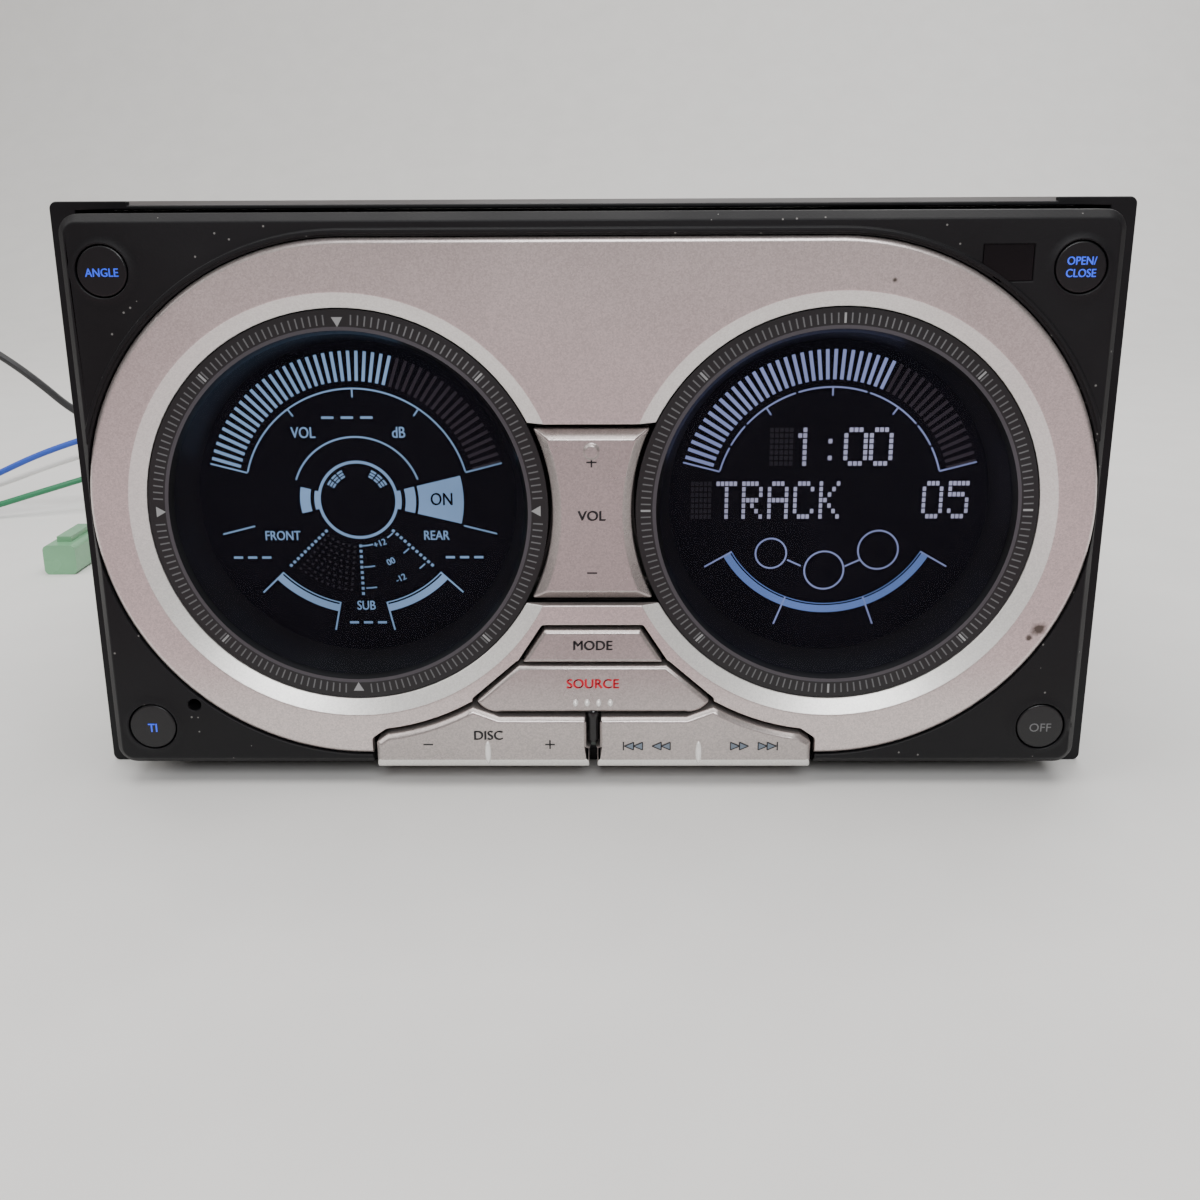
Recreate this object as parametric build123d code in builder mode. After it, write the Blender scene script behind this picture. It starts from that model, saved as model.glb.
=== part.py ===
# Two-slot car player for compact discs and minidiscs, with a motor-driven front panel
# X is the width, the driver looks along +Y, Z is up, and the case stands on Z = 0. Millimetres.
import os
from math import atan2, cos, pi, radians, sin, sqrt, tan

from build123d import *

os.makedirs("parts", exist_ok=True)

# Overall sizes
nose_width = 178.0
nose_height = 100.0
body_depth = 165.0
panel_proud = 10.0
rocker_rise = 1.2
socket_reach = 12.0
overall_depth = rocker_rise + panel_proud + body_depth + socket_reach
face_y = rocker_rise - overall_depth / 2
nose_y = face_y + panel_proud
rear_y = nose_y + body_depth

# Fits and clearances
part_gap = 0.2
panel_gap = 0.7
panel_top_gap = 0.5
key_gap = 0.8
button_gap = 0.2
slide_gap = 0.2
shaft_gap = 0.05
fulcrum_gap = 0.15
puck_gap = 0.1
deck_gap = 0.6

# Front frame and slot face
frame_depth = 16.0
frame_corner = 1.2
notch_side = 13.0
notch_half = nose_width / 2 - notch_side
cover_sheet = 0.7
cover_setback = 0.4
slot_face_depth = 13.0
slot_face_thick = 2.4
cd_slot_width = 124.0
cd_slot_height = 5.6
cd_slot_z = 86.0
felt_thick = 0.5
md_slot_width = 72.0
md_slot_height = 6.8
md_slot_z = 62.0
door_thick = 1.2
door_pin_radius = 0.5
door_pin_length = 1.4
door_overlap = 1.0
ear_thick = 1.6
ear_height = 3.6
ear_root = 0.4
passage_gap = 0.7

# Front panel shells
panel_width = 168.0
panel_bottom = 4.0
panel_top = 98.1
panel_corner = 3.2
panel_bevel = 1.3
bezel_depth = 11.5
bezel_wall = 3.4
side_wall = 2.0
back_half = 76.8
back_wall = 2.0
back_margin = 1.5
back_flange = 1.4
back_seat = 1.0
panel_depth = 22.0
ridge_width = 0.7
ridge_height = 0.5
ridge_offset = 0.5
panel_height = panel_top - panel_bottom
panel_mid = (panel_top + panel_bottom) / 2
panel_inner_width = panel_width - 2 * side_wall
panel_inner_height = panel_height - 2 * side_wall
back_height = panel_height - 2 * back_margin

# Silver fascia and round dials
fascia_thick = 2.0
lobe_x = 39.4
lobe_z = 50.2
lobe_radius = 44.2
dial_x = 40.8
dial_z = 49.6
dial_radius = 33.7
rim_radius = 36.3
rim_depth = 1.5
tick_inner = 30.2
tick_thick = 1.2
bowl_radius = 27.6
bowl_wall = 1.5
bowl_depth = 9.5
lens_thick = 1.0
lens_dome = 0.8
display_radius = 29.4
display_thick = 2.0

# Volume rocker between the dials
volume_bottom = 34.3
volume_top = 63.6
volume_radius = 34.2
volume_bevel = 1.6
volume_thick = 4.4
volume_window_half = 12.0
volume_window_gap = 0.9
bump_z = 60.0
bump_size = 1.3
bump_rise = 0.5
bump_taper = 20.0
fulcrum_radius = 1.0
fulcrum_setback = 0.8
volume_fulcrum_length = 8.0

# Keys under the volume rocker
mode_bottom = 23.2
mode_top = 29.1
mode_top_half = 8.2
mode_bottom_half = 12.0
source_top = 22.6
source_top_half = 12.7
source_tip_half = 20.1
source_tip_z = 16.1
source_bottom = 14.05
source_bottom_half = 15.8
source_corner_half = 18.55
source_corner_z = 14.5
key_rise = 0.5
key_thick = 3.2
key_edge = 0.5
stem_radius = 2.2
stem_depth = 7.4

# Two rockers along the lower edge
rocker_inner = 0.7
rocker_outer = 37.8
rocker_bottom = 3.7
rocker_flat = 13.3
rocker_flat_end = 16.2
rocker_peak_x = 20.8
rocker_arc_radius = 39.9
rocker_arc_end = 35.8
rocker_shoulder_z = 8.6
rocker_back = 5.0
rocker_edge = 0.7
rocker_notch = 6.6
rocker_fulcrum_length = 4.0
rocker_pivot_x = (rocker_inner + rocker_outer) / 2
indicator_half = 0.4
indicator_bottom = 7.8
indicator_top = 13.0

# Round corner buttons, reset hole and remote window
button_radius = 4.0
collar_radius = 5.6
collar_rim = 0.3
collar_rise = 0.7
button_rise = 0.6
button_flange = 4.5
flange_thick = 1.0
corner_buttons = {
    "angle_button": (-77.0, 89.3),
    "open_button": (76.8, 89.3),
    "info_button": (-76.7, 11.5),
    "off_button": (77.3, 11.5),
}
reset_x = -69.3
reset_z = 15.3
reset_radius = 1.1
window_left = 61.6
window_right = 69.6
window_bottom = 87.1
window_top = 92.9
window_cut = 2.6
window_thick = 1.4
window_flange = 1.0

# Panel circuit board
board_thick = 1.6
panel_board_depth = 8.6

# Panel drive: arms, racks, shaft and gears
pivot_depth = 16.0
pivot_z = 10.0
panel_travel = 104.0
pin_radius = 1.75
pin_reach = 4.1
eye_radius = 3.6
arm_inner = 78.0
arm_thick = 2.5
arm_bottom = 6.5
arm_top = 13.0
arm_length = 140.0
rack_module = 1.0
pinion_teeth = 14
backlash = 0.16
addendum = 0.8
dedendum = 1.15
shaft_from_nose = 34.0
shaft_radius = 2.0
pinion_radius = rack_module * pinion_teeth / 2
shaft_y = nose_y + shaft_from_nose
shaft_z = arm_top + dedendum * rack_module + pinion_radius
wheel_module = 0.8
wheel_teeth = 30
motor_teeth = 12
wheel_thick = 4.0
wheel_x = -62.0
motor_y = shaft_y + wheel_module * (wheel_teeth + motor_teeth) / 2
motor_radius = 12.0
motor_length = 30.0
motor_shaft_radius = 1.0
motor_gap = 2.0
bracket_thick = 1.5
bracket_foot = 18.0
guide_wall = 2.2
guide_height = 12.0
guide_length = 134.0
strap_width = 4.0
strap_thick = 1.2
strap_spacing = 44.0
pressure_angle = 20.0

# Steel case
sheet = 1.0
screw_head_thick = 1.0
case_half = nose_width / 2 - screw_head_thick
case_top = nose_height - cover_sheet
lid_lip = 9.0
screw_radius = 1.5
screw_head_radius = 2.8
screw_length = 5.0
cross_length = 2.6
cross_width = 0.6
cross_depth = 0.6
side_screw_z = nose_height - 6.0
side_screw_y = (nose_y + 36.0, nose_y + 90.0, rear_y - 19.0)
mount_hole_radius = 2.1
mount_collar_radius = 3.8
mount_collar_depth = 2.0
mount_first_y = nose_y + 37.0
mount_pitch_y = 70.0
mount_low_z = 30.0
mount_pitch_z = 44.0
vent_slot_length = 30.0
vent_slot_width = 3.0
vent_pitch_x = 38.0
vent_pitch_y = 7.0
vent_inset = 24.0

# Main board and rear sockets
board_half = 72.0
board_z = 5.0
board_front = nose_y + 22.0
board_rear = rear_y - 4.0
post_radius = 2.5
post_inset = 5.0
capacitor_x = (-30.0, -12.0, 6.0)
capacitor_inset = 30.0
capacitor_radius = 6.5
capacitor_height = 24.0
tuner_x = 50.0
tuner_inset = 40.0
tuner_width = 30.0
tuner_length = 44.0
tuner_height = 14.0
chip_x = 20.0
chip_setback = 70.0
chip_width = 18.0
chip_length = 14.0
chip_height = 2.5
chip_pitch_x = 34.0
chip_pitch_y = 26.0
connector_x = -58.0
connector_z = 25.0
connector_width = 34.0
connector_height = 16.0
connector_wall = 1.6
connector_depth = 7.0
connector_proud = 4.0
connector_base = 2.0
pin_pitch = 4.2
pin_size = 1.0
pin_length = 3.5
pin_columns = 7
antenna_x = 72.0
antenna_z = 24.0
antenna_radius = 7.0
antenna_bore = 4.7
antenna_bore_depth = 18.0
antenna_inner = 10.0
antenna_flange = 9.0
antenna_flange_thick = 1.5
jack_radius = 4.2
jack_bore = 1.7
jack_reach = 9.0
jack_x = 36.0
jack_z = 25.0
jack_pitch = 14.0
jack_block_depth = 8.0
sink_left = -84.0
sink_right = -22.0
sink_bottom = 52.0
sink_top = 94.0
sink_base = 3.0
sink_fins = 12
fin_thick = 1.6

# Compact disc deck
deck_sheet = 1.2
cd_deck_z = 73.5
cd_wall_half = 66.0
cd_ear_width = 14.0
cd_ear_length = 10.0
cd_wall_top = 93.0
cd_front = nose_y + 20.0
cd_rear = rear_y - 8.0
cd_centre_y = rear_y - 81.0
disc_thick = 1.2
disc_motor_radius = 12.0
disc_motor_drop = 2.0
table_gap = 0.8
turntable_radius = 14.0
turntable_thick = 2.4
hub_radius = 7.4
hub_height = 1.9
hub_taper = 18.0
spindle_radius = 1.0
puck_radius = 14.0
puck_neck = 3.0
puck_head = 5.0
puck_head_thick = 1.0
clamp_rise = 3.6
clamp_thick = 1.2
clamp_half = 9.0
clamp_bar_offset = 3.0
clamp_bar_width = 8.0
clamp_pivot_y = rear_y - 15.0
clamp_pin_radius = 1.5
roller_y = nose_y + 28.0
roller_radius = 4.0
roller_waist = 3.2
roller_gap = 0.4
roller_half = 60.0
roller_shaft_radius = 1.5
sled_half = 17.0
sled_length = 18.0
sled_start = 15.0
sled_height = 5.4
sled_window_half = 12.0
sled_window_margin = 2.0
sled_travel = 34.0
sled_floor = 77.0
sled_run = sled_length + sled_travel
rod_radius = 1.5
rod_x = 13.0
rod_height = 2.5
rod_gap = 0.15
rod_block = 3.0
rod_block_margin = 1.0
rod_front_gap = 2.0
rod_rear_gap = 3.0
journal_radius = 1.15
thread_margin = 2.0
lens_radius = 2.6
lens_rise = 0.5
lens_ring = 4.0
lens_ring_rise = 0.8
screw_pitch = 3.0
damper_radius = 4.0
damper_height = 3.5
damper_x = 73.0
damper_y = (nose_y + 40.0, rear_y - 35.0)

# Minidisc deck
md_deck_z = 46.0
md_front = nose_y + 20.0
md_rear = rear_y - 23.0
md_wall_half = 69.0
md_flange = 9.0
holder_width = 74.0
holder_length = 70.0
holder_height = 8.0
holder_sheet = 0.8
holder_front = nose_y + 28.0
holder_lower = 4.0
holder_window_width = 30.0
holder_window_length = 56.0
holder_pin_radius = 1.5
holder_pin_inset = 12.0
md_spindle_y = holder_front + holder_length / 2
md_motor_radius = 11.0
md_motor_drop = 6.0
md_motor_rise = 1.5
md_pin_length = 2.5
md_table_radius = 9.0
md_hub_radius = 4.0
md_hub_height = 1.2

# Loose leads
plug_length = 16.0
plug_seat = 5.0
latch_width = 8.0
latch_rise = 1.4
latch_inset = 5.0
signal_radius = 1.0
power_radius = 1.3
terminal_radius = 2.2
terminal_length = 16.0
terminal_sleeve = 9.6
terminal_tip_radius = 1.8
fuse_width = 9.0
fuse_height = 8.4
fuse_length = 22.0
fuse_corner = 1.5
fuse_cap_width = 4.0
fuse_cap_length = 14.0
fuse_cap_rise = 1.5


def front(y):
    """Plane facing the driver at a given Y, with local x = X and local y = Z."""
    return Plane.XZ.offset(-y)


def behind(depth):
    """Plane facing the driver at a depth behind the panel's face."""
    return front(face_y + depth)


def side(x):
    """Plane facing +X, with local x = Y and local y = Z."""
    return Plane.YZ.offset(x)


def turning_plane(x, z):
    """Horizontal plane through a dial's axis: local x is the radius, local y the depth behind the face."""
    return Plane((x, face_y, z))


def fascia_outline(grow=0.0):
    """Hull of the two dial lobes, grown all round."""
    with BuildSketch() as outline:
        with Locations((0, lobe_z)):
            SlotCenterToCenter(2 * lobe_x, 2 * (lobe_radius + grow))
    return outline.sketch


def mode_outline():
    """Trapezium under the volume rocker."""
    with BuildSketch() as outline:
        with BuildLine():
            Polyline(
                (-mode_top_half, mode_top),
                (mode_top_half, mode_top),
                (mode_bottom_half, mode_bottom),
                (-mode_bottom_half, mode_bottom),
                close=True,
            )
        make_face()
    return outline.sketch


def source_outline():
    """Broad key with two pointed ends, between the dials' lower arcs."""
    tip = (source_tip_half, source_tip_z)
    foot = (source_bottom_half, source_bottom)
    corner = (source_corner_half, source_corner_z)
    with BuildSketch() as outline:
        with BuildLine():
            Polyline((-tip[0], tip[1]), (-source_top_half, source_top), (source_top_half, source_top), tip)
            ThreePointArc(tip, corner, foot)
            Line(foot, (-foot[0], foot[1]))
            ThreePointArc((-foot[0], foot[1]), (-corner[0], corner[1]), (-tip[0], tip[1]))
        make_face()
    return outline.sketch


def dial_arc_z(x):
    """Height of the rocker's concave edge, which runs round the dial, at a given x."""
    return dial_z - sqrt(rocker_arc_radius**2 - (dial_x - x) ** 2)


def rocker_outline(hand):
    """Outline of a lower rocker; hand is 1 on the right and -1 on the left."""
    peak = (hand * rocker_peak_x, dial_arc_z(rocker_peak_x))
    middle_x = (rocker_peak_x + rocker_arc_end) / 2
    arc_end = (hand * rocker_arc_end, dial_arc_z(rocker_arc_end))
    with BuildSketch() as outline:
        with BuildLine():
            Polyline(
                arc_end,
                (hand * rocker_outer, rocker_shoulder_z),
                (hand * rocker_outer, rocker_bottom),
                (hand * rocker_inner, rocker_bottom),
                (hand * rocker_inner, rocker_flat),
                (hand * rocker_flat_end, rocker_flat),
                peak,
            )
            ThreePointArc(peak, (hand * middle_x, dial_arc_z(middle_x)), arc_end)
        make_face()
    return outline.sketch


def gear_outline(teeth, module, first_tooth):
    """Involute gear outline round the origin, with its first tooth's middle at an angle in degrees."""
    pressure = radians(pressure_angle)
    pitch_r = module * teeth / 2
    base_r = pitch_r * cos(pressure)
    tip_r = pitch_r + addendum * module
    root_r = pitch_r - dedendum * module
    start_r = max(base_r, root_r)
    half_tooth = pi / (2 * teeth) - backlash / (4 * pitch_r) + tan(pressure) - pressure

    def flank_point(radius, hand, middle):
        roll = sqrt(max(0.0, (radius / base_r) ** 2 - 1))
        angle = middle + hand * (half_tooth - (roll - atan2(roll, 1)))
        return (radius * cos(angle), radius * sin(angle))

    inner = 0.9 * root_r
    with BuildSketch() as outline:
        Circle(root_r)
        for tooth in range(teeth):
            middle = radians(first_tooth) + tooth * 2 * pi / teeth
            rising = [flank_point(r, -1, middle) for r in (start_r, (start_r + tip_r) / 2, tip_r)]
            falling = [flank_point(r, 1, middle) for r in (tip_r, (start_r + tip_r) / 2, start_r)]
            with BuildLine():
                Line((inner * cos(middle), inner * sin(middle)), rising[0])
                ThreePointArc(*rising)
                ThreePointArc(rising[2], (tip_r * cos(middle), tip_r * sin(middle)), falling[0])
                ThreePointArc(*falling)
                Line(falling[2], (inner * cos(middle), inner * sin(middle)))
            make_face()
    return outline.sketch


# Front frame of black plastic round the moving panel
opening_bottom = panel_bottom - panel_gap
opening_top = panel_top + panel_top_gap
opening_half = panel_width / 2 + panel_gap
with BuildPart() as front_frame:
    with BuildSketch(front(nose_y)):
        with Locations((0, nose_height / 2)):
            RectangleRounded(nose_width, nose_height, frame_corner)
        with Locations((0, (opening_bottom + opening_top) / 2)):
            Rectangle(2 * opening_half, opening_top - opening_bottom, mode=Mode.SUBTRACT)
        with Locations((0, nose_height)):
            Rectangle(2 * notch_half, 2 * cover_sheet, mode=Mode.SUBTRACT)
    extrude(amount=-frame_depth)
front_frame.part.label = "front_frame"
export_step(front_frame.part, "parts/front_frame.step")

# Slot face behind the panel, with both disc slots, the passages of the two arms and the door's ears
door_pin_z = md_slot_z + md_slot_height / 2 - part_gap - door_thick / 2
door_pin_y = nose_y + slot_face_depth + slot_face_thick + door_thick / 2 + part_gap
door_half = md_slot_width / 2 + door_overlap
ear_inner = door_half + part_gap
arm_middle = arm_inner + arm_thick / 2
rack_top = arm_top + (addendum + dedendum) * rack_module
passage_width = arm_thick + 2 * passage_gap
passage_height = rack_top - arm_bottom + 2 * passage_gap
with BuildPart() as slot_face:
    with BuildSketch(front(nose_y + slot_face_depth)):
        with Locations((0, (opening_bottom + opening_top) / 2)):
            Rectangle(2 * (opening_half - part_gap), opening_top - opening_bottom - 2 * part_gap)
        with Locations((0, cd_slot_z)):
            SlotOverall(cd_slot_width, cd_slot_height, mode=Mode.SUBTRACT)
        with Locations((0, md_slot_z)):
            Rectangle(md_slot_width, md_slot_height, mode=Mode.SUBTRACT)
        with Locations(*[(hand * arm_middle, (arm_bottom + rack_top) / 2) for hand in (-1, 1)]):
            Rectangle(passage_width, passage_height, mode=Mode.SUBTRACT)
    extrude(amount=-slot_face_thick)
    for hand in (-1, 1):
        with BuildSketch(side(hand * ear_inner)):
            with Locations((door_pin_y, door_pin_z)):
                Rectangle(door_thick + 2 * (part_gap + ear_root), ear_height)
                Circle(door_pin_radius + shaft_gap, mode=Mode.SUBTRACT)
        extrude(amount=hand * ear_thick)
slot_face.part.label = "slot_face"
export_step(slot_face.part, "parts/slot_face.step")

# Felt strips that wipe a disc on its way in
felt_reach = cd_slot_width - cd_slot_height
with BuildPart() as slot_felts:
    with BuildSketch(front(nose_y + slot_face_depth)):
        for hand in (-1, 1):
            with Locations((0, cd_slot_z + hand * (cd_slot_height - felt_thick) / 2)):
                Rectangle(felt_reach, felt_thick)
    extrude(amount=-slot_face_thick)
slot_felts.part.label = "slot_felts"
export_step(slot_felts.part, "parts/slot_felts.step")

# Sprung door of the minidisc slot, on pins at its top edge
with BuildPart() as md_door:
    with BuildSketch(side(-door_half)):
        with Locations((door_pin_y, door_pin_z)):
            Circle(door_thick / 2)
        with Locations((door_pin_y, door_pin_z - md_slot_height / 2)):
            Rectangle(door_thick, md_slot_height)
    extrude(amount=2 * door_half)
    with BuildSketch(side(-door_half - door_pin_length)):
        with Locations((door_pin_y, door_pin_z)):
            Circle(door_pin_radius)
    extrude(amount=2 * (door_half + door_pin_length))
md_door.part.label = "md_door"
export_step(md_door.part, "parts/md_door.step")

# Steel case: floor, two side walls and the rear wall, with threaded collars for the mounting screws
mount_points = [
    (mount_first_y + row * mount_pitch_y, mount_low_z + level * mount_pitch_z)
    for row in (0, 1)
    for level in (0, 1)
]
case_front = nose_y + frame_depth
board_posts = [
    (hand * (board_half - post_inset), y)
    for hand in (-1, 1)
    for y in (board_front + post_inset, board_rear - post_inset)
]
with BuildPart() as bottom_case:
    with BuildSketch(front(case_front)):
        with Locations((0, case_top / 2)):
            Rectangle(2 * case_half, case_top)
        with Locations((0, (case_top + sheet) / 2)):
            Rectangle(2 * (case_half - sheet), case_top - sheet, mode=Mode.SUBTRACT)
    extrude(amount=-(body_depth - frame_depth))
    with BuildSketch(front(rear_y)):
        with Locations((0, case_top / 2)):
            Rectangle(2 * case_half, case_top)
    extrude(amount=sheet)
    with BuildSketch(front(rear_y)):
        with Locations((connector_x, connector_z)):
            Rectangle(connector_width, connector_height)
        with Locations((antenna_x, antenna_z)):
            Circle(antenna_radius + part_gap)
        with Locations((jack_x, jack_z)):
            with GridLocations(jack_pitch, jack_pitch, 2, 2):
                Circle(jack_radius + part_gap)
    extrude(amount=sheet, mode=Mode.SUBTRACT)
    with BuildSketch(Plane.XY.offset(sheet)):
        with Locations(*board_posts):
            Circle(post_radius)
    extrude(amount=board_z - sheet)
    for hand in (-1, 1):
        with BuildSketch(side(hand * (case_half - sheet))):
            with Locations(*mount_points):
                Circle(mount_collar_radius)
        extrude(amount=-hand * mount_collar_depth)
        with BuildSketch(side(hand * case_half)):
            with Locations(*mount_points):
                Circle(mount_hole_radius)
        extrude(amount=-hand * (sheet + mount_collar_depth), mode=Mode.SUBTRACT)
        with BuildSketch(side(hand * case_half)):
            with Locations(*[(y, side_screw_z) for y in side_screw_y]):
                Circle(screw_radius)
        extrude(amount=-hand * sheet, mode=Mode.SUBTRACT)
bottom_case.part.label = "bottom_case"
export_step(bottom_case.part, "parts/bottom_case.step")

# Steel lid with its two inner lips
cover_front = nose_y + cover_setback
lip_outer = case_half - sheet - part_gap
lip_middle = lip_outer - cover_sheet / 2
with BuildPart() as top_cover:
    with BuildSketch(front(cover_front)):
        with Locations((0, nose_height - cover_sheet / 2)):
            Rectangle(2 * notch_half - 2 * part_gap, cover_sheet)
    extrude(amount=-frame_depth)
    with BuildSketch(front(case_front + part_gap)):
        with Locations((0, nose_height - cover_sheet / 2)):
            Rectangle(2 * case_half, cover_sheet)
        with Locations(*[(hand * lip_middle, nose_height - lid_lip / 2) for hand in (-1, 1)]):
            Rectangle(cover_sheet, lid_lip)
    extrude(amount=-(body_depth - frame_depth - sheet - 2 * part_gap))
    with BuildSketch(Plane.XY.offset(nose_height)):
        with Locations((0, rear_y - vent_inset)):
            with GridLocations(vent_pitch_x, vent_pitch_y, 4, 3):
                SlotOverall(vent_slot_length, vent_slot_width)
    extrude(amount=-cover_sheet, mode=Mode.SUBTRACT)
    for hand in (-1, 1):
        with BuildSketch(side(hand * lip_outer)):
            with Locations(*[(y, side_screw_z) for y in side_screw_y]):
                Circle(screw_radius)
        extrude(amount=-hand * cover_sheet, mode=Mode.SUBTRACT)
top_cover.part.label = "top_cover"
export_step(top_cover.part, "parts/top_cover.step")

# Cross-head screws that hold the lid
with BuildPart() as cover_screws:
    for hand in (-1, 1):
        with BuildSketch(side(hand * case_half)):
            with Locations(*[(y, side_screw_z) for y in side_screw_y]):
                Circle(screw_head_radius)
        extrude(amount=hand * screw_head_thick)
        with BuildSketch(side(hand * case_half)):
            with Locations(*[(y, side_screw_z) for y in side_screw_y]):
                Circle(screw_radius)
        extrude(amount=-hand * screw_length)
        with BuildSketch(side(hand * (case_half + screw_head_thick))):
            with Locations(*[(y, side_screw_z) for y in side_screw_y]):
                Rectangle(cross_length, cross_width)
                Rectangle(cross_width, cross_length)
        extrude(amount=-hand * cross_depth, mode=Mode.SUBTRACT)
cover_screws.part.label = "cover_screws"
export_step(cover_screws.part, "parts/cover_screws.step")

# Main circuit board with its largest components standing on it
board_top = board_z + board_thick
capacitor_spots = [(x, rear_y - capacitor_inset) for x in capacitor_x]
with BuildPart() as main_board:
    with BuildSketch(Plane.XY.offset(board_z)):
        with Locations((0, (board_front + board_rear) / 2)):
            Rectangle(2 * board_half, board_rear - board_front)
    extrude(amount=board_thick)
    with BuildSketch(Plane.XY.offset(board_top)):
        with Locations(*capacitor_spots):
            Circle(capacitor_radius)
    extrude(amount=capacitor_height)
    with BuildSketch(Plane.XY.offset(board_top)):
        with Locations((tuner_x, rear_y - tuner_inset)):
            Rectangle(tuner_width, tuner_length)
    extrude(amount=tuner_height)
    with BuildSketch(Plane.XY.offset(board_top)):
        with Locations((chip_x, nose_y + chip_setback)):
            with GridLocations(chip_pitch_x, chip_pitch_y, 2, 2):
                Rectangle(chip_width, chip_length)
    extrude(amount=chip_height)
main_board.part.label = "main_board"
export_step(main_board.part, "parts/main_board.step")

# Finned heat sink on the rear wall
sink_width = sink_right - sink_left
sink_height = sink_top - sink_bottom
with BuildPart() as heatsink:
    with BuildSketch(front(rear_y)):
        with Locations(((sink_left + sink_right) / 2, (sink_bottom + sink_top) / 2)):
            Rectangle(sink_width, sink_height)
    extrude(amount=-sink_base)
    with BuildSketch(front(rear_y + sink_base)):
        with Locations(((sink_left + sink_right) / 2, (sink_bottom + sink_top) / 2)):
            with GridLocations((sink_width - fin_thick) / (sink_fins - 1), 0, sink_fins, 1):
                Rectangle(fin_thick, sink_height)
    extrude(amount=-(socket_reach - sink_base))
heatsink.part.label = "heatsink"
export_step(heatsink.part, "parts/heatsink.step")

# Socket of the wiring loom, open to the rear, with its rows of pins
socket_front = rear_y - connector_depth
with BuildPart() as power_connector:
    with BuildSketch(front(socket_front)):
        with Locations((connector_x, connector_z)):
            Rectangle(connector_width, connector_height)
    extrude(amount=-(connector_depth + connector_proud))
    with BuildSketch(front(rear_y + connector_proud)):
        with Locations((connector_x, connector_z)):
            Rectangle(connector_width - 2 * connector_wall, connector_height - 2 * connector_wall)
    extrude(amount=connector_depth + connector_proud - connector_base, mode=Mode.SUBTRACT)
    with BuildSketch(front(socket_front + connector_base)):
        with Locations((connector_x, connector_z)):
            with GridLocations(pin_pitch, 2 * pin_pitch, pin_columns, 2):
                Rectangle(pin_size, pin_size)
    extrude(amount=-pin_length)
power_connector.part.label = "power_connector"
export_step(power_connector.part, "parts/power_connector.step")

# Antenna socket and four audio jacks
with BuildPart() as antenna_socket:
    with BuildSketch(front(rear_y + socket_reach)):
        with Locations((antenna_x, antenna_z)):
            Circle(antenna_radius)
    extrude(amount=socket_reach + antenna_inner)
    with BuildSketch(front(rear_y)):
        with Locations((antenna_x, antenna_z)):
            Circle(antenna_flange)
    extrude(amount=-antenna_flange_thick)
    with BuildSketch(front(rear_y + socket_reach)):
        with Locations((antenna_x, antenna_z)):
            Circle(antenna_bore)
    extrude(amount=antenna_bore_depth, mode=Mode.SUBTRACT)
antenna_socket.part.label = "antenna_socket"
export_step(antenna_socket.part, "parts/antenna_socket.step")

with BuildPart() as audio_jacks:
    with BuildSketch(front(rear_y - sheet)):
        with Locations((jack_x, jack_z)):
            Rectangle(2 * jack_pitch, 2 * jack_pitch)
    extrude(amount=jack_block_depth)
    with BuildSketch(front(rear_y + jack_reach)):
        with Locations((jack_x, jack_z)):
            with GridLocations(jack_pitch, jack_pitch, 2, 2):
                Circle(jack_radius)
    extrude(amount=jack_reach + sheet)
    with BuildSketch(front(rear_y + jack_reach)):
        with Locations((jack_x, jack_z)):
            with GridLocations(jack_pitch, jack_pitch, 2, 2):
                Circle(jack_bore)
    extrude(amount=jack_reach, mode=Mode.SUBTRACT)
audio_jacks.part.label = "audio_jacks"
export_step(audio_jacks.part, "parts/audio_jacks.step")

# Channels that guide the arms, with straps over the racks and posts for the drive shaft
guide_front = case_front + part_gap
guide_low = arm_bottom - slide_gap
strap_z = rack_top + slide_gap
post_top = shaft_z + shaft_radius + guide_wall
with BuildPart() as arm_guides:
    for hand in (-1, 1):
        inner = hand * (arm_inner - slide_gap - guide_wall)
        outer = hand * (arm_inner + arm_thick + slide_gap + guide_wall)
        middle = (inner + outer) / 2
        with BuildSketch(front(guide_front)):
            with Locations((middle, (sheet + guide_height) / 2)):
                Rectangle(abs(outer - inner), guide_height - sheet)
            with Locations((hand * arm_middle, guide_low + guide_height / 2)):
                Rectangle(arm_thick + 2 * slide_gap, guide_height, mode=Mode.SUBTRACT)
        extrude(amount=-guide_length)
        for strap_y in (guide_front, guide_front + strap_spacing):
            with BuildSketch(front(strap_y)):
                with Locations((middle, (guide_height + strap_z + strap_thick) / 2)):
                    Rectangle(abs(outer - inner), strap_z + strap_thick - guide_height)
                with Locations((hand * arm_middle, strap_z / 2)):
                    Rectangle(arm_thick + 2 * slide_gap, strap_z, mode=Mode.SUBTRACT)
            extrude(amount=-strap_width)
        with BuildSketch(side(outer)):
            with Locations((shaft_y, (guide_height + post_top) / 2)):
                Rectangle(4 * shaft_radius, post_top - guide_height)
            with Locations((shaft_y, shaft_z)):
                Circle(shaft_radius + shaft_gap, mode=Mode.SUBTRACT)
        extrude(amount=-hand * guide_wall)
arm_guides.part.label = "arm_guides"
export_step(arm_guides.part, "parts/arm_guides.step")

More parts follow.
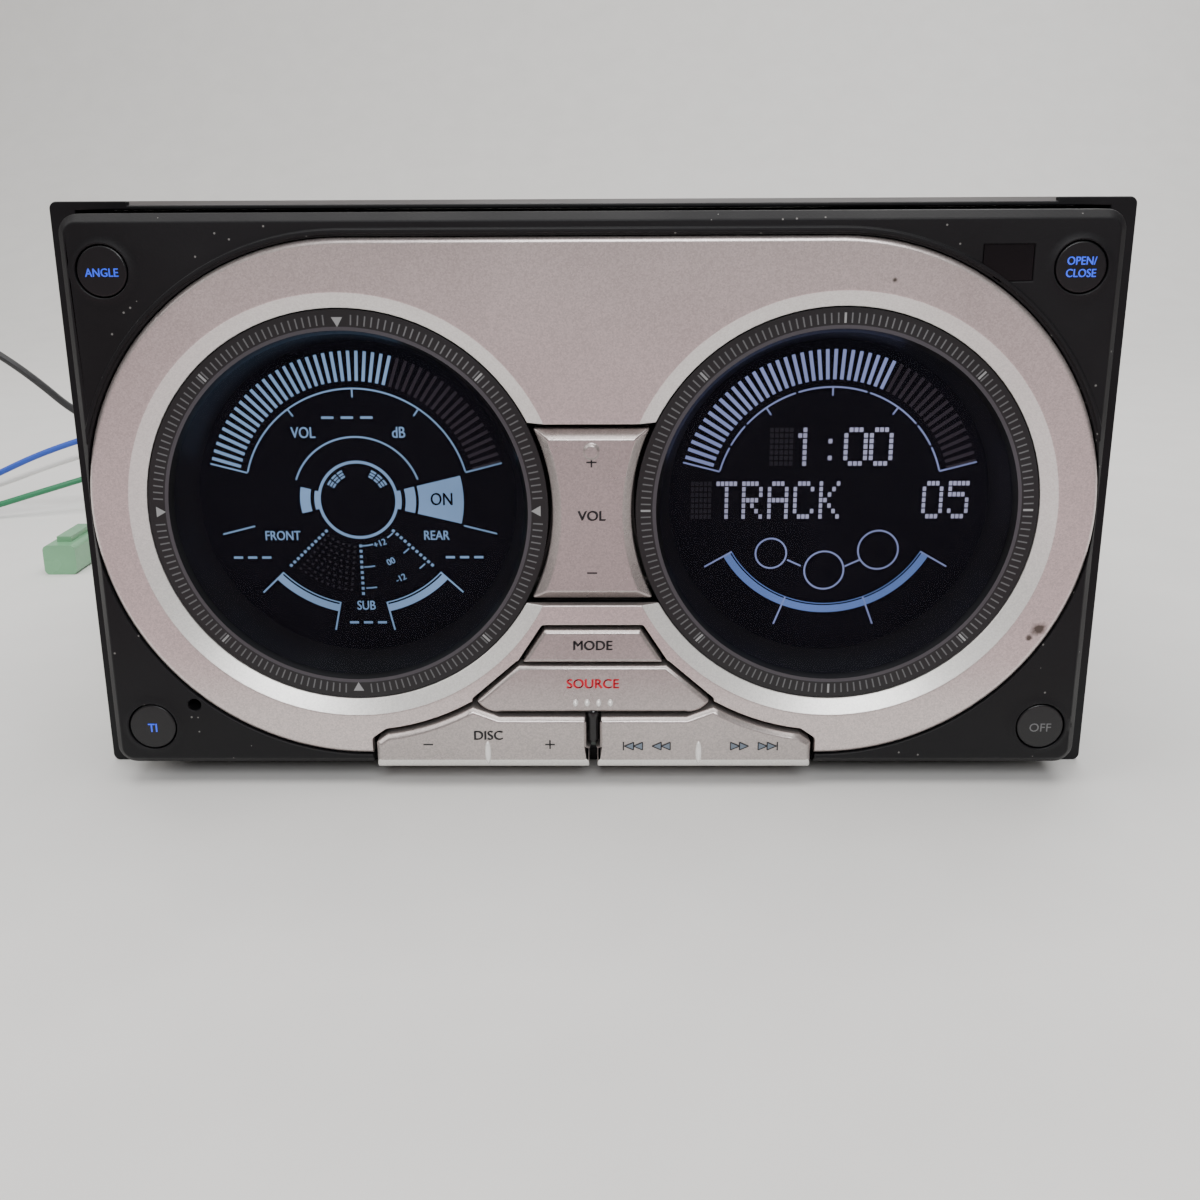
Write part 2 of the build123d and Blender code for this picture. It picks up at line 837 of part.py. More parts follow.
# Sliding arms: a bar with a rack on its top edge, an eye and a hinge pin for the panel
pivot_y = face_y + pivot_depth
rack_pitch = pi * rack_module
tooth_half = rack_pitch / 4 - backlash / 4
slope = tan(radians(pressure_angle))
root_half = tooth_half + dedendum * rack_module * slope
tip_half = tooth_half - addendum * rack_module * slope
rack_lead = 1.5
rack_teeth = int(panel_travel / rack_pitch + 2 * rack_lead) + 1
for name, hand in (("left_arm", -1), ("right_arm", 1)):
    with BuildPart() as arm:
        with BuildSketch(side(hand * arm_inner)):
            with Locations((pivot_y, pivot_z)):
                Circle(eye_radius)
            with Locations((pivot_y + arm_length / 2, (arm_bottom + arm_top) / 2)):
                Rectangle(arm_length, arm_top - arm_bottom)
            for tooth in range(rack_teeth):
                middle = shaft_y + (tooth - rack_lead) * rack_pitch
                with BuildLine():
                    Polyline(
                        (middle - root_half, arm_top),
                        (middle - tip_half, rack_top),
                        (middle + tip_half, rack_top),
                        (middle + root_half, arm_top),
                        close=True,
                    )
                make_face()
        extrude(amount=hand * arm_thick)
        with BuildSketch(side(hand * arm_inner)):
            with Locations((pivot_y, pivot_z)):
                Circle(pin_radius)
        extrude(amount=-hand * pin_reach)
    arm.part.label = name
    export_step(arm.part, "parts/" + name + ".step")

# Drive shaft across the case, with a pinion over each rack and the drive wheel
shaft_half = arm_inner + arm_thick + slide_gap + guide_wall
with BuildPart() as drive_shaft:
    with BuildSketch(side(-shaft_half)):
        with Locations((shaft_y, shaft_z)):
            Circle(shaft_radius)
    extrude(amount=2 * shaft_half)
drive_shaft.part.label = "drive_shaft"
export_step(drive_shaft.part, "parts/drive_shaft.step")

with BuildPart() as drive_gears:
    for x in (-arm_inner - arm_thick, arm_inner):
        with BuildSketch(side(x)):
            with Locations((shaft_y, shaft_z)):
                add(gear_outline(pinion_teeth, rack_module, -90))
                Circle(shaft_radius, mode=Mode.SUBTRACT)
        extrude(amount=arm_thick)
    with BuildSketch(side(wheel_x)):
        with Locations((shaft_y, shaft_z)):
            add(gear_outline(wheel_teeth, wheel_module, 180 / wheel_teeth))
            Circle(shaft_radius, mode=Mode.SUBTRACT)
    extrude(amount=wheel_thick)
drive_gears.part.label = "drive_gears"
export_step(drive_gears.part, "parts/drive_gears.step")

with BuildPart() as motor_pinion:
    with BuildSketch(side(wheel_x)):
        with Locations((motor_y, shaft_z)):
            add(gear_outline(motor_teeth, wheel_module, 180))
            Circle(motor_shaft_radius + shaft_gap, mode=Mode.SUBTRACT)
    extrude(amount=wheel_thick)
motor_pinion.part.label = "motor_pinion"
export_step(motor_pinion.part, "parts/motor_pinion.step")

# Geared motor on its bracket
motor_front = wheel_x + wheel_thick + motor_gap
with BuildPart() as drive_motor:
    with BuildSketch(side(motor_front)):
        with Locations((motor_y, shaft_z)):
            Circle(motor_radius)
    extrude(amount=motor_length)
    with BuildSketch(side(motor_front)):
        with Locations((motor_y, (board_top + shaft_z) / 2)):
            Rectangle(2 * motor_radius, shaft_z - board_top)
    extrude(amount=bracket_thick)
    with BuildSketch(Plane.XY.offset(board_top)):
        with Locations((motor_front + bracket_foot / 2, motor_y)):
            Rectangle(bracket_foot, 2 * motor_radius)
    extrude(amount=bracket_thick)
    with BuildSketch(side(motor_front)):
        with Locations((motor_y, shaft_z)):
            Circle(motor_shaft_radius)
    extrude(amount=-(motor_gap + wheel_thick))
drive_motor.part.label = "drive_motor"
export_step(drive_motor.part, "parts/drive_motor.step")

# Minidisc deck: a plate between the case's walls that carries the upper deck too
md_wall_top = cd_deck_z - damper_height
with BuildPart() as md_deck_frame:
    with BuildSketch(front(md_front)):
        with Locations((0, md_deck_z + deck_sheet / 2)):
            Rectangle(2 * (case_half - sheet), deck_sheet)
        for hand in (-1, 1):
            with Locations((hand * (md_wall_half - deck_sheet / 2), (md_deck_z + md_wall_top) / 2)):
                Rectangle(deck_sheet, md_wall_top - md_deck_z)
            with Locations((hand * (md_wall_half + md_flange / 2), md_wall_top - deck_sheet / 2)):
                Rectangle(md_flange, deck_sheet)
            with Locations((hand * (case_half - sheet - deck_sheet / 2), md_deck_z + md_flange / 2)):
                Rectangle(deck_sheet, md_flange)
    extrude(amount=-(md_rear - md_front))
    with BuildSketch(Plane.XY.offset(md_deck_z)):
        with Locations((0, md_spindle_y)):
            Circle(md_motor_radius + part_gap)
    extrude(amount=deck_sheet, mode=Mode.SUBTRACT)
md_deck_frame.part.label = "md_deck_frame"
export_step(md_deck_frame.part, "parts/md_deck_frame.step")

# Cartridge holder, which lowers the cartridge onto the spindle
holder_pin_y = (holder_front + holder_pin_inset, holder_front + holder_length - holder_pin_inset)
with BuildPart() as md_holder:
    with BuildSketch(front(holder_front)):
        with Locations((0, md_slot_z)):
            Rectangle(holder_width, holder_height)
            Rectangle(holder_width - 2 * holder_sheet, holder_height - 2 * holder_sheet, mode=Mode.SUBTRACT)
    extrude(amount=-holder_length)
    with BuildSketch(Plane.XY.offset(md_slot_z - holder_height / 2)):
        with Locations((0, md_spindle_y)):
            Rectangle(holder_window_width, holder_window_length)
    extrude(amount=holder_sheet, mode=Mode.SUBTRACT)
    for hand in (-1, 1):
        with BuildSketch(side(hand * holder_width / 2)):
            with Locations(*[(y, md_slot_z) for y in holder_pin_y]):
                Circle(holder_pin_radius)
        extrude(amount=hand * (md_wall_half - deck_sheet - holder_width / 2 - part_gap))
md_holder.part.label = "md_holder"
export_step(md_holder.part, "parts/md_holder.step")

# Minidisc spindle: a fixed motor under the deck and its turning table
md_table_top = md_slot_z - holder_height / 2 - holder_lower - part_gap
md_motor_top = md_deck_z + deck_sheet + md_motor_rise
with BuildPart() as md_motor:
    with BuildSketch(Plane.XY.offset(md_deck_z - md_motor_drop)):
        with Locations((0, md_spindle_y)):
            Circle(md_motor_radius)
    extrude(amount=md_motor_top - md_deck_z + md_motor_drop)
    with BuildSketch(Plane.XY.offset(md_motor_top)):
        with Locations((0, md_spindle_y)):
            Circle(spindle_radius)
    extrude(amount=md_pin_length)
md_motor.part.label = "md_motor"
export_step(md_motor.part, "parts/md_motor.step")

with BuildPart() as md_spindle:
    with BuildSketch(Plane.XY.offset(md_motor_top + part_gap)):
        with Locations((0, md_spindle_y)):
            Circle(md_table_radius)
            Circle(spindle_radius + shaft_gap, mode=Mode.SUBTRACT)
    extrude(amount=md_table_top - md_motor_top - part_gap)
    with BuildSketch(Plane.XY.offset(md_table_top)):
        with Locations((0, md_spindle_y)):
            Circle(md_hub_radius)
            Circle(spindle_radius + shaft_gap, mode=Mode.SUBTRACT)
    extrude(amount=md_hub_height)
md_spindle.part.label = "md_spindle"
export_step(md_spindle.part, "parts/md_spindle.step")

# Rubber dampers between the two decks
damper_spots = [(hand * damper_x, y) for hand in (-1, 1) for y in damper_y]
with BuildPart() as deck_dampers:
    with BuildSketch(Plane.XY.offset(md_wall_top)):
        with Locations(*damper_spots):
            Circle(damper_radius)
            Circle(damper_radius / 2, mode=Mode.SUBTRACT)
    extrude(amount=damper_height)
deck_dampers.part.label = "deck_dampers"
export_step(deck_dampers.part, "parts/deck_dampers.step")

# Compact disc deck: pressed plate with side walls, ears on the dampers and a window for the pickup
cd_plate_top = cd_deck_z + deck_sheet
disc_z = cd_slot_z - disc_thick / 2
roller_z = disc_z - roller_gap - roller_radius
clamp_pin_z = disc_z + disc_thick + clamp_rise
with BuildPart() as cd_deck_frame:
    with BuildSketch(Plane.XY.offset(cd_deck_z)):
        with Locations((0, (cd_front + cd_rear) / 2)):
            Rectangle(2 * cd_wall_half, cd_rear - cd_front)
        with Locations(*damper_spots):
            Rectangle(cd_ear_width, cd_ear_length)
        with Locations((0, cd_centre_y)):
            Circle(disc_motor_radius + part_gap, mode=Mode.SUBTRACT)
        with Locations((0, cd_centre_y + sled_start + sled_run / 2)):
            Rectangle(2 * sled_window_half, sled_run - 2 * sled_window_margin, mode=Mode.SUBTRACT)
        with Locations(*damper_spots):
            Circle(damper_radius / 2, mode=Mode.SUBTRACT)
    extrude(amount=deck_sheet)
    for hand in (-1, 1):
        with BuildSketch(side(hand * cd_wall_half)):
            with Locations(((cd_front + cd_rear) / 2, (cd_plate_top + cd_wall_top) / 2)):
                Rectangle(cd_rear - cd_front, cd_wall_top - cd_plate_top)
            with Locations((roller_y, roller_z)):
                Circle(roller_shaft_radius + shaft_gap, mode=Mode.SUBTRACT)
            with Locations((clamp_pivot_y, clamp_pin_z)):
                Circle(clamp_pin_radius + shaft_gap, mode=Mode.SUBTRACT)
        extrude(amount=-hand * deck_sheet)
cd_deck_frame.part.label = "cd_deck_frame"
export_step(cd_deck_frame.part, "parts/cd_deck_frame.step")

# Disc motor and its turntable
table_bottom = disc_z - turntable_thick
cd_motor_top = table_bottom - table_gap
with BuildPart() as disc_motor:
    with BuildSketch(Plane.XY.offset(cd_deck_z - disc_motor_drop)):
        with Locations((0, cd_centre_y)):
            Circle(disc_motor_radius)
    extrude(amount=cd_motor_top - cd_deck_z + disc_motor_drop)
    with BuildSketch(Plane.XY.offset(cd_motor_top)):
        with Locations((0, cd_centre_y)):
            Circle(spindle_radius)
    extrude(amount=turntable_thick)
disc_motor.part.label = "disc_motor"
export_step(disc_motor.part, "parts/disc_motor.step")

with BuildPart() as cd_turntable:
    with BuildSketch(Plane.XY.offset(table_bottom)):
        with Locations((0, cd_centre_y)):
            Circle(turntable_radius)
    extrude(amount=turntable_thick)
    with BuildSketch(Plane.XY.offset(disc_z)):
        with Locations((0, cd_centre_y)):
            Circle(hub_radius)
    extrude(amount=hub_height, taper=hub_taper)
    with BuildSketch(Plane.XY.offset(table_bottom)):
        with Locations((0, cd_centre_y)):
            Circle(spindle_radius + shaft_gap)
    extrude(amount=turntable_thick, mode=Mode.SUBTRACT)
cd_turntable.part.label = "cd_turntable"
export_step(cd_turntable.part, "parts/cd_turntable.step")

# Clamp: an arm hinged at the rear of the deck and the puck that turns with the disc
puck_z = disc_z + hub_height + puck_gap
clamp_z = clamp_pin_z - clamp_thick / 2
with BuildPart() as clamp_arm:
    with BuildSketch(Plane.XY.offset(clamp_z)):
        with Locations((0, (cd_centre_y + clamp_pivot_y) / 2)):
            Rectangle(2 * clamp_half, clamp_pivot_y - cd_centre_y)
        with Locations((0, cd_centre_y)):
            Circle(clamp_half)
            Circle(puck_neck + part_gap, mode=Mode.SUBTRACT)
        with Locations((0, clamp_pivot_y - clamp_bar_offset)):
            Rectangle(2 * (cd_wall_half - deck_sheet - deck_gap), clamp_bar_width)
    extrude(amount=clamp_thick)
    with BuildSketch(side(-cd_wall_half)):
        with Locations((clamp_pivot_y, clamp_pin_z)):
            Circle(clamp_pin_radius)
    extrude(amount=2 * cd_wall_half)
clamp_arm.part.label = "clamp_arm"
export_step(clamp_arm.part, "parts/clamp_arm.step")

with BuildPart() as clamp_puck:
    with BuildSketch(Plane.XY.offset(puck_z)):
        with Locations((0, cd_centre_y)):
            Circle(puck_radius)
    extrude(amount=clamp_z - part_gap - puck_z)
    with BuildSketch(Plane.XY.offset(clamp_z - part_gap)):
        with Locations((0, cd_centre_y)):
            Circle(puck_neck)
    extrude(amount=clamp_thick + 2 * part_gap)
    with BuildSketch(Plane.XY.offset(clamp_z + clamp_thick + part_gap)):
        with Locations((0, cd_centre_y)):
            Circle(puck_head)
    extrude(amount=puck_head_thick)
clamp_puck.part.label = "clamp_puck"
export_step(clamp_puck.part, "parts/clamp_puck.step")

# Rubber feed roller, thinner in its middle, on a steel shaft
with BuildPart() as feed_roller:
    with BuildSketch(Plane((0, roller_y, roller_z), x_dir=(1, 0, 0), z_dir=(0, -1, 0))):
        with BuildLine():
            Line((-roller_half, 0), (-roller_half, roller_radius))
            ThreePointArc((-roller_half, roller_radius), (0, roller_waist), (roller_half, roller_radius))
            Line((roller_half, roller_radius), (roller_half, 0))
            Line((roller_half, 0), (-roller_half, 0))
        make_face()
    revolve(axis=Axis((0, roller_y, roller_z), (1, 0, 0)))
    with BuildSketch(side(-cd_wall_half)):
        with Locations((roller_y, roller_z)):
            Circle(roller_shaft_radius)
    extrude(amount=2 * cd_wall_half)
feed_roller.part.label = "feed_roller"
export_step(feed_roller.part, "parts/feed_roller.step")

# Pickup sled, its two guide rods and the lead screw that drives it
sled_y = cd_centre_y + sled_start
rod_z = sled_floor + rod_height
rod_front = sled_y - rod_front_gap
rod_rear = sled_y + sled_run + rod_rear_gap
with BuildPart() as cd_pickup:
    with BuildSketch(Plane.XY.offset(sled_floor)):
        with Locations((0, sled_y + sled_length / 2)):
            Rectangle(2 * sled_half, sled_length)
    extrude(amount=sled_height)
    with BuildSketch(Plane.XY.offset(sled_floor + sled_height)):
        with Locations((0, sled_y + sled_length / 2)):
            Circle(lens_ring)
    extrude(amount=lens_ring_rise)
    with BuildSketch(Plane.XY.offset(sled_floor + sled_height + lens_ring_rise)):
        with Locations((0, sled_y + sled_length / 2)):
            Circle(lens_radius)
    extrude(amount=lens_rise)
    with BuildSketch(front(sled_y)):
        with Locations((-rod_x, rod_z), (rod_x, rod_z)):
            Circle(rod_radius + rod_gap)
    extrude(amount=-sled_length, mode=Mode.SUBTRACT)
cd_pickup.part.label = "cd_pickup"
export_step(cd_pickup.part, "parts/cd_pickup.step")

block_y = (rod_front - rod_block / 2, rod_rear + rod_block / 2)
block_spots = [(x, y) for x in (-rod_x, rod_x) for y in block_y]
with BuildPart() as guide_rods:
    with BuildSketch(front(rod_front)):
        with Locations((rod_x, rod_z)):
            Circle(rod_radius)
    extrude(amount=-(rod_rear - rod_front))
    with BuildSketch(Plane.XY.offset(cd_plate_top)):
        with Locations(*block_spots):
            Rectangle(2 * rod_block, rod_block)
    extrude(amount=rod_z + rod_radius + rod_block_margin - cd_plate_top)
    with BuildSketch(front(rod_front - rod_block)):
        with Locations((-rod_x, rod_z)):
            Circle(journal_radius + shaft_gap)
    extrude(amount=-(rod_rear - rod_front + 2 * rod_block), mode=Mode.SUBTRACT)
guide_rods.part.label = "guide_rods"
export_step(guide_rods.part, "parts/guide_rods.step")

thread_turns = int((rod_rear - rod_front - 2 * thread_margin) / screw_pitch)
with BuildPart() as lead_screw:
    with BuildSketch(front(rod_front - rod_block)):
        with Locations((-rod_x, rod_z)):
            Circle(journal_radius)
    extrude(amount=-(rod_rear - rod_front + 2 * rod_block))
    for turn in range(thread_turns):
        with BuildSketch(front(rod_front + thread_margin + turn * screw_pitch)):
            with Locations((-rod_x, rod_z)):
                Circle(rod_radius)
        extrude(amount=-screw_pitch / 2)
lead_screw.part.label = "lead_screw"
export_step(lead_screw.part, "parts/lead_screw.step")

# Windows that the panel's two front shells share
with BuildSketch() as key_windows:
    add(mode_outline())
    add(source_outline())
    offset(amount=key_gap)
with BuildSketch() as rocker_windows:
    add(rocker_outline(-1))
    add(rocker_outline(1))
    offset(amount=key_gap)
    Rectangle(2 * (rocker_outer + key_gap), 2 * rocker_shoulder_z)
with BuildSketch() as volume_window:
    with Locations((0, (volume_bottom + volume_top) / 2)):
        Rectangle(2 * volume_window_half, volume_top - volume_bottom + 2 * volume_window_gap)
dial_spots = [(-dial_x, dial_z), (dial_x, dial_z)]

# Silver fascia round both dials, with chamfered rims
with BuildPart() as silver_fascia:
    with BuildSketch(behind(0)):
        add(fascia_outline())
        with Locations(*dial_spots):
            Circle(dial_radius, mode=Mode.SUBTRACT)
        add(volume_window.sketch, mode=Mode.SUBTRACT)
        add(key_windows.sketch, mode=Mode.SUBTRACT)
        add(rocker_windows.sketch, mode=Mode.SUBTRACT)
    extrude(amount=-fascia_thick)
    for spot in dial_spots:
        with BuildSketch(behind(0)):
            with Locations(spot):
                Circle(rim_radius)
        with BuildSketch(behind(rim_depth)):
            with Locations(spot):
                Circle(dial_radius)
        loft(mode=Mode.SUBTRACT)
silver_fascia.part.label = "silver_fascia"
export_step(silver_fascia.part, "parts/silver_fascia.step")

# Remote window's outline, a plate with one corner cut off
with BuildSketch() as window_shape:
    with BuildLine():
        Polyline(
            (window_left + window_cut, window_bottom),
            (window_right, window_bottom),
            (window_right, window_top),
            (window_left, window_top),
            (window_left, window_bottom + window_cut),
            close=True,
        )
    make_face()

# Black front shell of the panel
button_spots = list(corner_buttons.values())
with BuildPart() as panel_bezel:
    with BuildSketch(behind(0)):
        with Locations((0, panel_mid)):
            RectangleRounded(panel_width, panel_height, panel_corner)
    extrude(amount=-bezel_depth)
    chamfer(panel_bezel.faces().sort_by(Axis.Y)[0].edges(), panel_bevel)
    with BuildSketch(behind(bezel_wall)):
        with Locations((0, panel_mid)):
            RectangleRounded(panel_inner_width, panel_inner_height, panel_corner - side_wall)
    extrude(amount=-(bezel_depth - bezel_wall), mode=Mode.SUBTRACT)
    with BuildSketch(behind(0)):
        add(fascia_outline(ridge_offset + ridge_width))
        add(fascia_outline(ridge_offset), mode=Mode.SUBTRACT)
        with Locations((0, panel_mid + panel_height / 4)):
            Rectangle(panel_width - 2 * panel_bevel, panel_height / 2, mode=Mode.INTERSECT)
    extrude(amount=ridge_height)
    with BuildSketch(behind(0)):
        add(fascia_outline(part_gap / 2))
    extrude(amount=-fascia_thick, mode=Mode.SUBTRACT)
    with BuildSketch(behind(0)):
        with Locations(*dial_spots):
            Circle(dial_radius + part_gap)
        add(volume_window.sketch)
        add(key_windows.sketch)
        add(window_shape.sketch)
        with Locations(*button_spots):
            Circle(button_radius + button_gap)
        with Locations((reset_x, reset_z)):
            Circle(reset_radius)
    extrude(amount=-bezel_wall, mode=Mode.SUBTRACT)
    with BuildSketch(behind(0)):
        add(rocker_windows.sketch)
    extrude(amount=-rocker_notch, mode=Mode.SUBTRACT)
    for spot in button_spots:
        with BuildSketch(behind(0)):
            with Locations(spot):
                Circle(collar_radius)
        with BuildSketch(behind(-collar_rise)):
            with Locations(spot):
                Circle(button_radius + button_gap + collar_rim)
        loft()
        with BuildSketch(behind(-collar_rise)):
            with Locations(spot):
                Circle(button_radius + button_gap)
        extrude(amount=-(collar_rise + bezel_wall), mode=Mode.SUBTRACT)
panel_bezel.part.label = "panel_bezel"
export_step(panel_bezel.part, "parts/panel_bezel.step")

# Rear shell of the panel: a flange that closes the front shell and a box between the arms
flange_depth = bezel_depth - back_seat
with BuildPart() as panel_back:
    with BuildSketch(behind(flange_depth)):
        with Locations((0, panel_mid)):
            RectangleRounded(
                panel_inner_width - 2 * part_gap,
                panel_inner_height - 2 * part_gap,
                panel_corner - side_wall,
            )
        with Locations(*dial_spots):
            Circle(display_radius + 2 * part_gap, mode=Mode.SUBTRACT)
    extrude(amount=-back_flange)
    with BuildSketch(behind(flange_depth + back_flange)):
        with Locations((0, panel_mid)):
            Rectangle(2 * back_half, back_height)
            Rectangle(2 * (back_half - side_wall), back_height - 2 * side_wall, mode=Mode.SUBTRACT)
        for spot in dial_spots:
            with Locations(spot):
                Circle(display_radius)
                Circle(display_radius - side_wall, mode=Mode.SUBTRACT)
        for hand in (-1, 1):
            with Locations((hand * (back_half - pin_reach / 2), pivot_z)):
                Rectangle(pin_reach, 2 * pivot_z - 2 * panel_bottom - 2 * back_margin)
    extrude(amount=-(panel_depth - back_wall - flange_depth - back_flange))
    with BuildSketch(behind(panel_depth - back_wall)):
        with Locations((0, panel_mid)):
            RectangleRounded(2 * back_half, back_height, side_wall)
    extrude(amount=-back_wall)
    for hand in (-1, 1):
        with BuildSketch(side(hand * back_half)):
            with Locations((pivot_y, pivot_z)):
                Circle(pin_radius + shaft_gap)
        extrude(amount=-hand * (pin_reach + part_gap), mode=Mode.SUBTRACT)
panel_back.part.label = "panel_back"
export_step(panel_back.part, "parts/panel_back.step")

# Black dial rings: a flat band for the tick marks and a bowl down to the display
bowl_foot = bowl_radius + bowl_wall
ring_outer = dial_radius - part_gap
for name, spot in (("left_dial_ring", dial_spots[0]), ("right_dial_ring", dial_spots[1])):
    with BuildPart() as dial_ring:
        with BuildSketch(turning_plane(*spot)):
            with BuildLine():
                Polyline(
                    (tick_inner, rim_depth),
                    (ring_outer, rim_depth),
                    (ring_outer, rim_depth + tick_thick),
                    (tick_inner + bowl_wall, rim_depth + tick_thick),
                    (bowl_foot, bowl_depth),
                    (bowl_radius, bowl_depth),
                    close=True,
                )
            make_face()
        revolve(axis=Axis((spot[0], face_y, spot[1]), (0, 1, 0)))
    dial_ring.part.label = name
    export_step(dial_ring.part, "parts/" + name + ".step")

# Domed lenses that cover the bowls
lens_depth = rim_depth + tick_thick + 0.6
lens_front = lens_depth - lens_thick
crown_back = lens_depth - lens_dome
crown_front = crown_back - lens_thick
bowl_slope = (tick_inner - bowl_radius) / (bowl_depth - rim_depth)
lens_edge = tick_inner - bowl_slope * (lens_depth - rim_depth) - part_gap
dome_radius = (lens_edge**2 + lens_dome**2) / (2 * lens_dome)
middle_sag = dome_radius - sqrt(dome_radius**2 - (lens_edge / 2) ** 2)
with BuildPart() as dial_lenses:
    for spot in dial_spots:
        with BuildSketch(turning_plane(*spot)):
            with BuildLine():
                back_middle = (lens_edge / 2, crown_back + middle_sag)
                front_middle = (lens_edge / 2, crown_front + middle_sag)
                Line((0, crown_front), (0, crown_back))
                ThreePointArc((0, crown_back), back_middle, (lens_edge, lens_depth))
                Line((lens_edge, lens_depth), (lens_edge, lens_front))
                ThreePointArc((lens_edge, lens_front), front_middle, (0, crown_front))
            make_face()
        revolve(axis=Axis((spot[0], face_y, spot[1]), (0, 1, 0)))
dial_lenses.part.label = "dial_lenses"
export_step(dial_lenses.part, "parts/dial_lenses.step")

# Display modules behind the bowls
for name, spot in (("left_display", dial_spots[0]), ("right_display", dial_spots[1])):
    with BuildPart() as display:
        with BuildSketch(behind(bowl_depth + part_gap / 2)):
            with Locations(spot):
                Circle(display_radius)
        extrude(amount=-display_thick)
    display.part.label = name
    export_step(display.part, "parts/" + name + ".step")

# Panel circuit board with the fulcrums of the rockers and the indicator bar between the lower ones
board_width = panel_inner_width - 4 * part_gap
board_height = panel_inner_height - 4 * part_gap
volume_mid = (volume_bottom + volume_top) / 2
rocker_fulcrum_z = (rocker_bottom + rocker_flat) / 2
volume_fulcrum = volume_thick + fulcrum_setback
rocker_fulcrum = rocker_back + fulcrum_setback
with BuildPart() as panel_board:
    with BuildSketch(behind(panel_board_depth)):
        with Locations((0, panel_mid)):
            Rectangle(board_width, board_height)
        with Locations(*dial_spots):
            Circle(dial_radius, mode=Mode.SUBTRACT)
    extrude(amount=-board_thick)
    with BuildSketch(behind(volume_fulcrum)):
        with Locations((0, volume_mid)):
            Rectangle(volume_fulcrum_length, fulcrum_radius)
    extrude(amount=-(panel_board_depth - volume_fulcrum))
    with BuildSketch(side(-volume_fulcrum_length / 2)):
        with Locations((face_y + volume_fulcrum, volume_mid)):
            Circle(fulcrum_radius)
    extrude(amount=volume_fulcrum_length)
    for hand in (-1, 1):
        fulcrum_spot = (hand * rocker_pivot_x, face_y + rocker_fulcrum)
        with BuildSketch(behind(rocker_fulcrum)):
            with Locations((hand * rocker_pivot_x, rocker_fulcrum_z)):
                Rectangle(fulcrum_radius, rocker_fulcrum_length)
        extrude(amount=-(panel_board_depth - rocker_fulcrum))
        with BuildSketch(Plane.XY.offset(rocker_fulcrum_z - rocker_fulcrum_length / 2)):
            with Locations(fulcrum_spot):
                Circle(fulcrum_radius)
        extrude(amount=rocker_fulcrum_length)
    with BuildSketch(behind(0)):
        with Locations((0, (indicator_bottom + indicator_top) / 2)):
            Rectangle(2 * indicator_half, indicator_top - indicator_bottom)
    extrude(amount=-panel_board_depth)
panel_board.part.label = "panel_board"
export_step(panel_board.part, "parts/panel_board.step")

# Dark window of the remote-control receiver
with BuildPart() as ir_window:
    with BuildSketch(behind(part_gap)):
        add(window_shape.sketch)
        offset(amount=-part_gap / 2)
    extrude(amount=-(bezel_wall - part_gap))
    with BuildSketch(behind(bezel_wall)):
        add(window_shape.sketch)
        offset(amount=window_flange)
    extrude(amount=-window_thick)
ir_window.part.label = "ir_window"
export_step(ir_window.part, "parts/ir_window.step")

# Four round corner buttons, each held behind the shell by its flange
for name, spot in corner_buttons.items():
    with BuildPart() as button:
        with BuildSketch(behind(-button_rise)):
            with Locations(spot):
                Circle(button_radius)
        extrude(amount=-(button_rise + bezel_wall + part_gap))
        fillet(button.faces().sort_by(Axis.Y)[0].edges(), button_rise / 2)
        with BuildSketch(behind(bezel_wall + part_gap)):
            with Locations(spot):
                Circle(button_flange)
        extrude(amount=-flange_thick)
        with BuildSketch(behind(bezel_wall + part_gap)):
            with Locations(spot):
                Circle(stem_radius)
        extrude(amount=-(stem_depth - bezel_wall - part_gap))
    button.part.label = name
    export_step(button.part, "parts/" + name + ".step")

# Volume rocker, waisted between the dials, with a raised mark near its top
with BuildPart() as volume_rocker:
    with BuildSketch(behind(0)):
        with Locations((0, volume_mid)):
            Rectangle(2 * volume_window_half, volume_top - volume_bottom)
        with Locations(*dial_spots):
            Circle(volume_radius, mode=Mode.SUBTRACT)
    extrude(amount=-volume_thick)
    chamfer(volume_rocker.faces().sort_by(Axis.Y)[0].edges(), volume_bevel)
    with BuildSketch(behind(0)):
        with Locations((0, bump_z)):
            Circle(bump_size)
    extrude(amount=bump_rise, taper=bump_taper)
    with BuildSketch(side(-volume_window_half)):
        with Locations((face_y + volume_fulcrum, volume_mid)):
            Circle(fulcrum_radius + fulcrum_gap)
    extrude(amount=2 * volume_window_half, mode=Mode.SUBTRACT)
volume_rocker.part.label = "volume_rocker"
export_step(volume_rocker.part, "parts/volume_rocker.step")

# Two push keys under it
for name, outline, height in (
    ("mode_button", mode_outline, (mode_bottom + mode_top) / 2),
    ("source_button", source_outline, (source_bottom + source_top) / 2),
):
    with BuildPart() as key:
        with BuildSketch(behind(-key_rise)):
            add(outline())
        extrude(amount=-(key_rise + key_thick))
        chamfer(key.faces().sort_by(Axis.Y)[0].edges(), key_edge)
        with BuildSketch(behind(key_thick)):
            with Locations((0, height)):
                Circle(stem_radius)
        extrude(amount=-(stem_depth - key_thick))
    key.part.label = name
    export_step(key.part, "parts/" + name + ".step")

# Lower rockers for discs and tracks
for name, hand in (("disc_rocker", -1), ("track_rocker", 1)):
    with BuildPart() as rocker:
        with BuildSketch(behind(-rocker_rise)):
            add(rocker_outline(hand))
        extrude(amount=-(rocker_rise + rocker_back))
        chamfer(rocker.faces().sort_by(Axis.Y)[0].edges(), rocker_edge)
        with BuildSketch(Plane.XY.offset(rocker_bottom)):
            with Locations((hand * rocker_pivot_x, face_y + rocker_fulcrum)):
                Circle(fulcrum_radius + fulcrum_gap)
        extrude(amount=dial_arc_z(rocker_peak_x) - rocker_bottom, mode=Mode.SUBTRACT)
    rocker.part.label = name
    export_step(rocker.part, "parts/" + name + ".step")

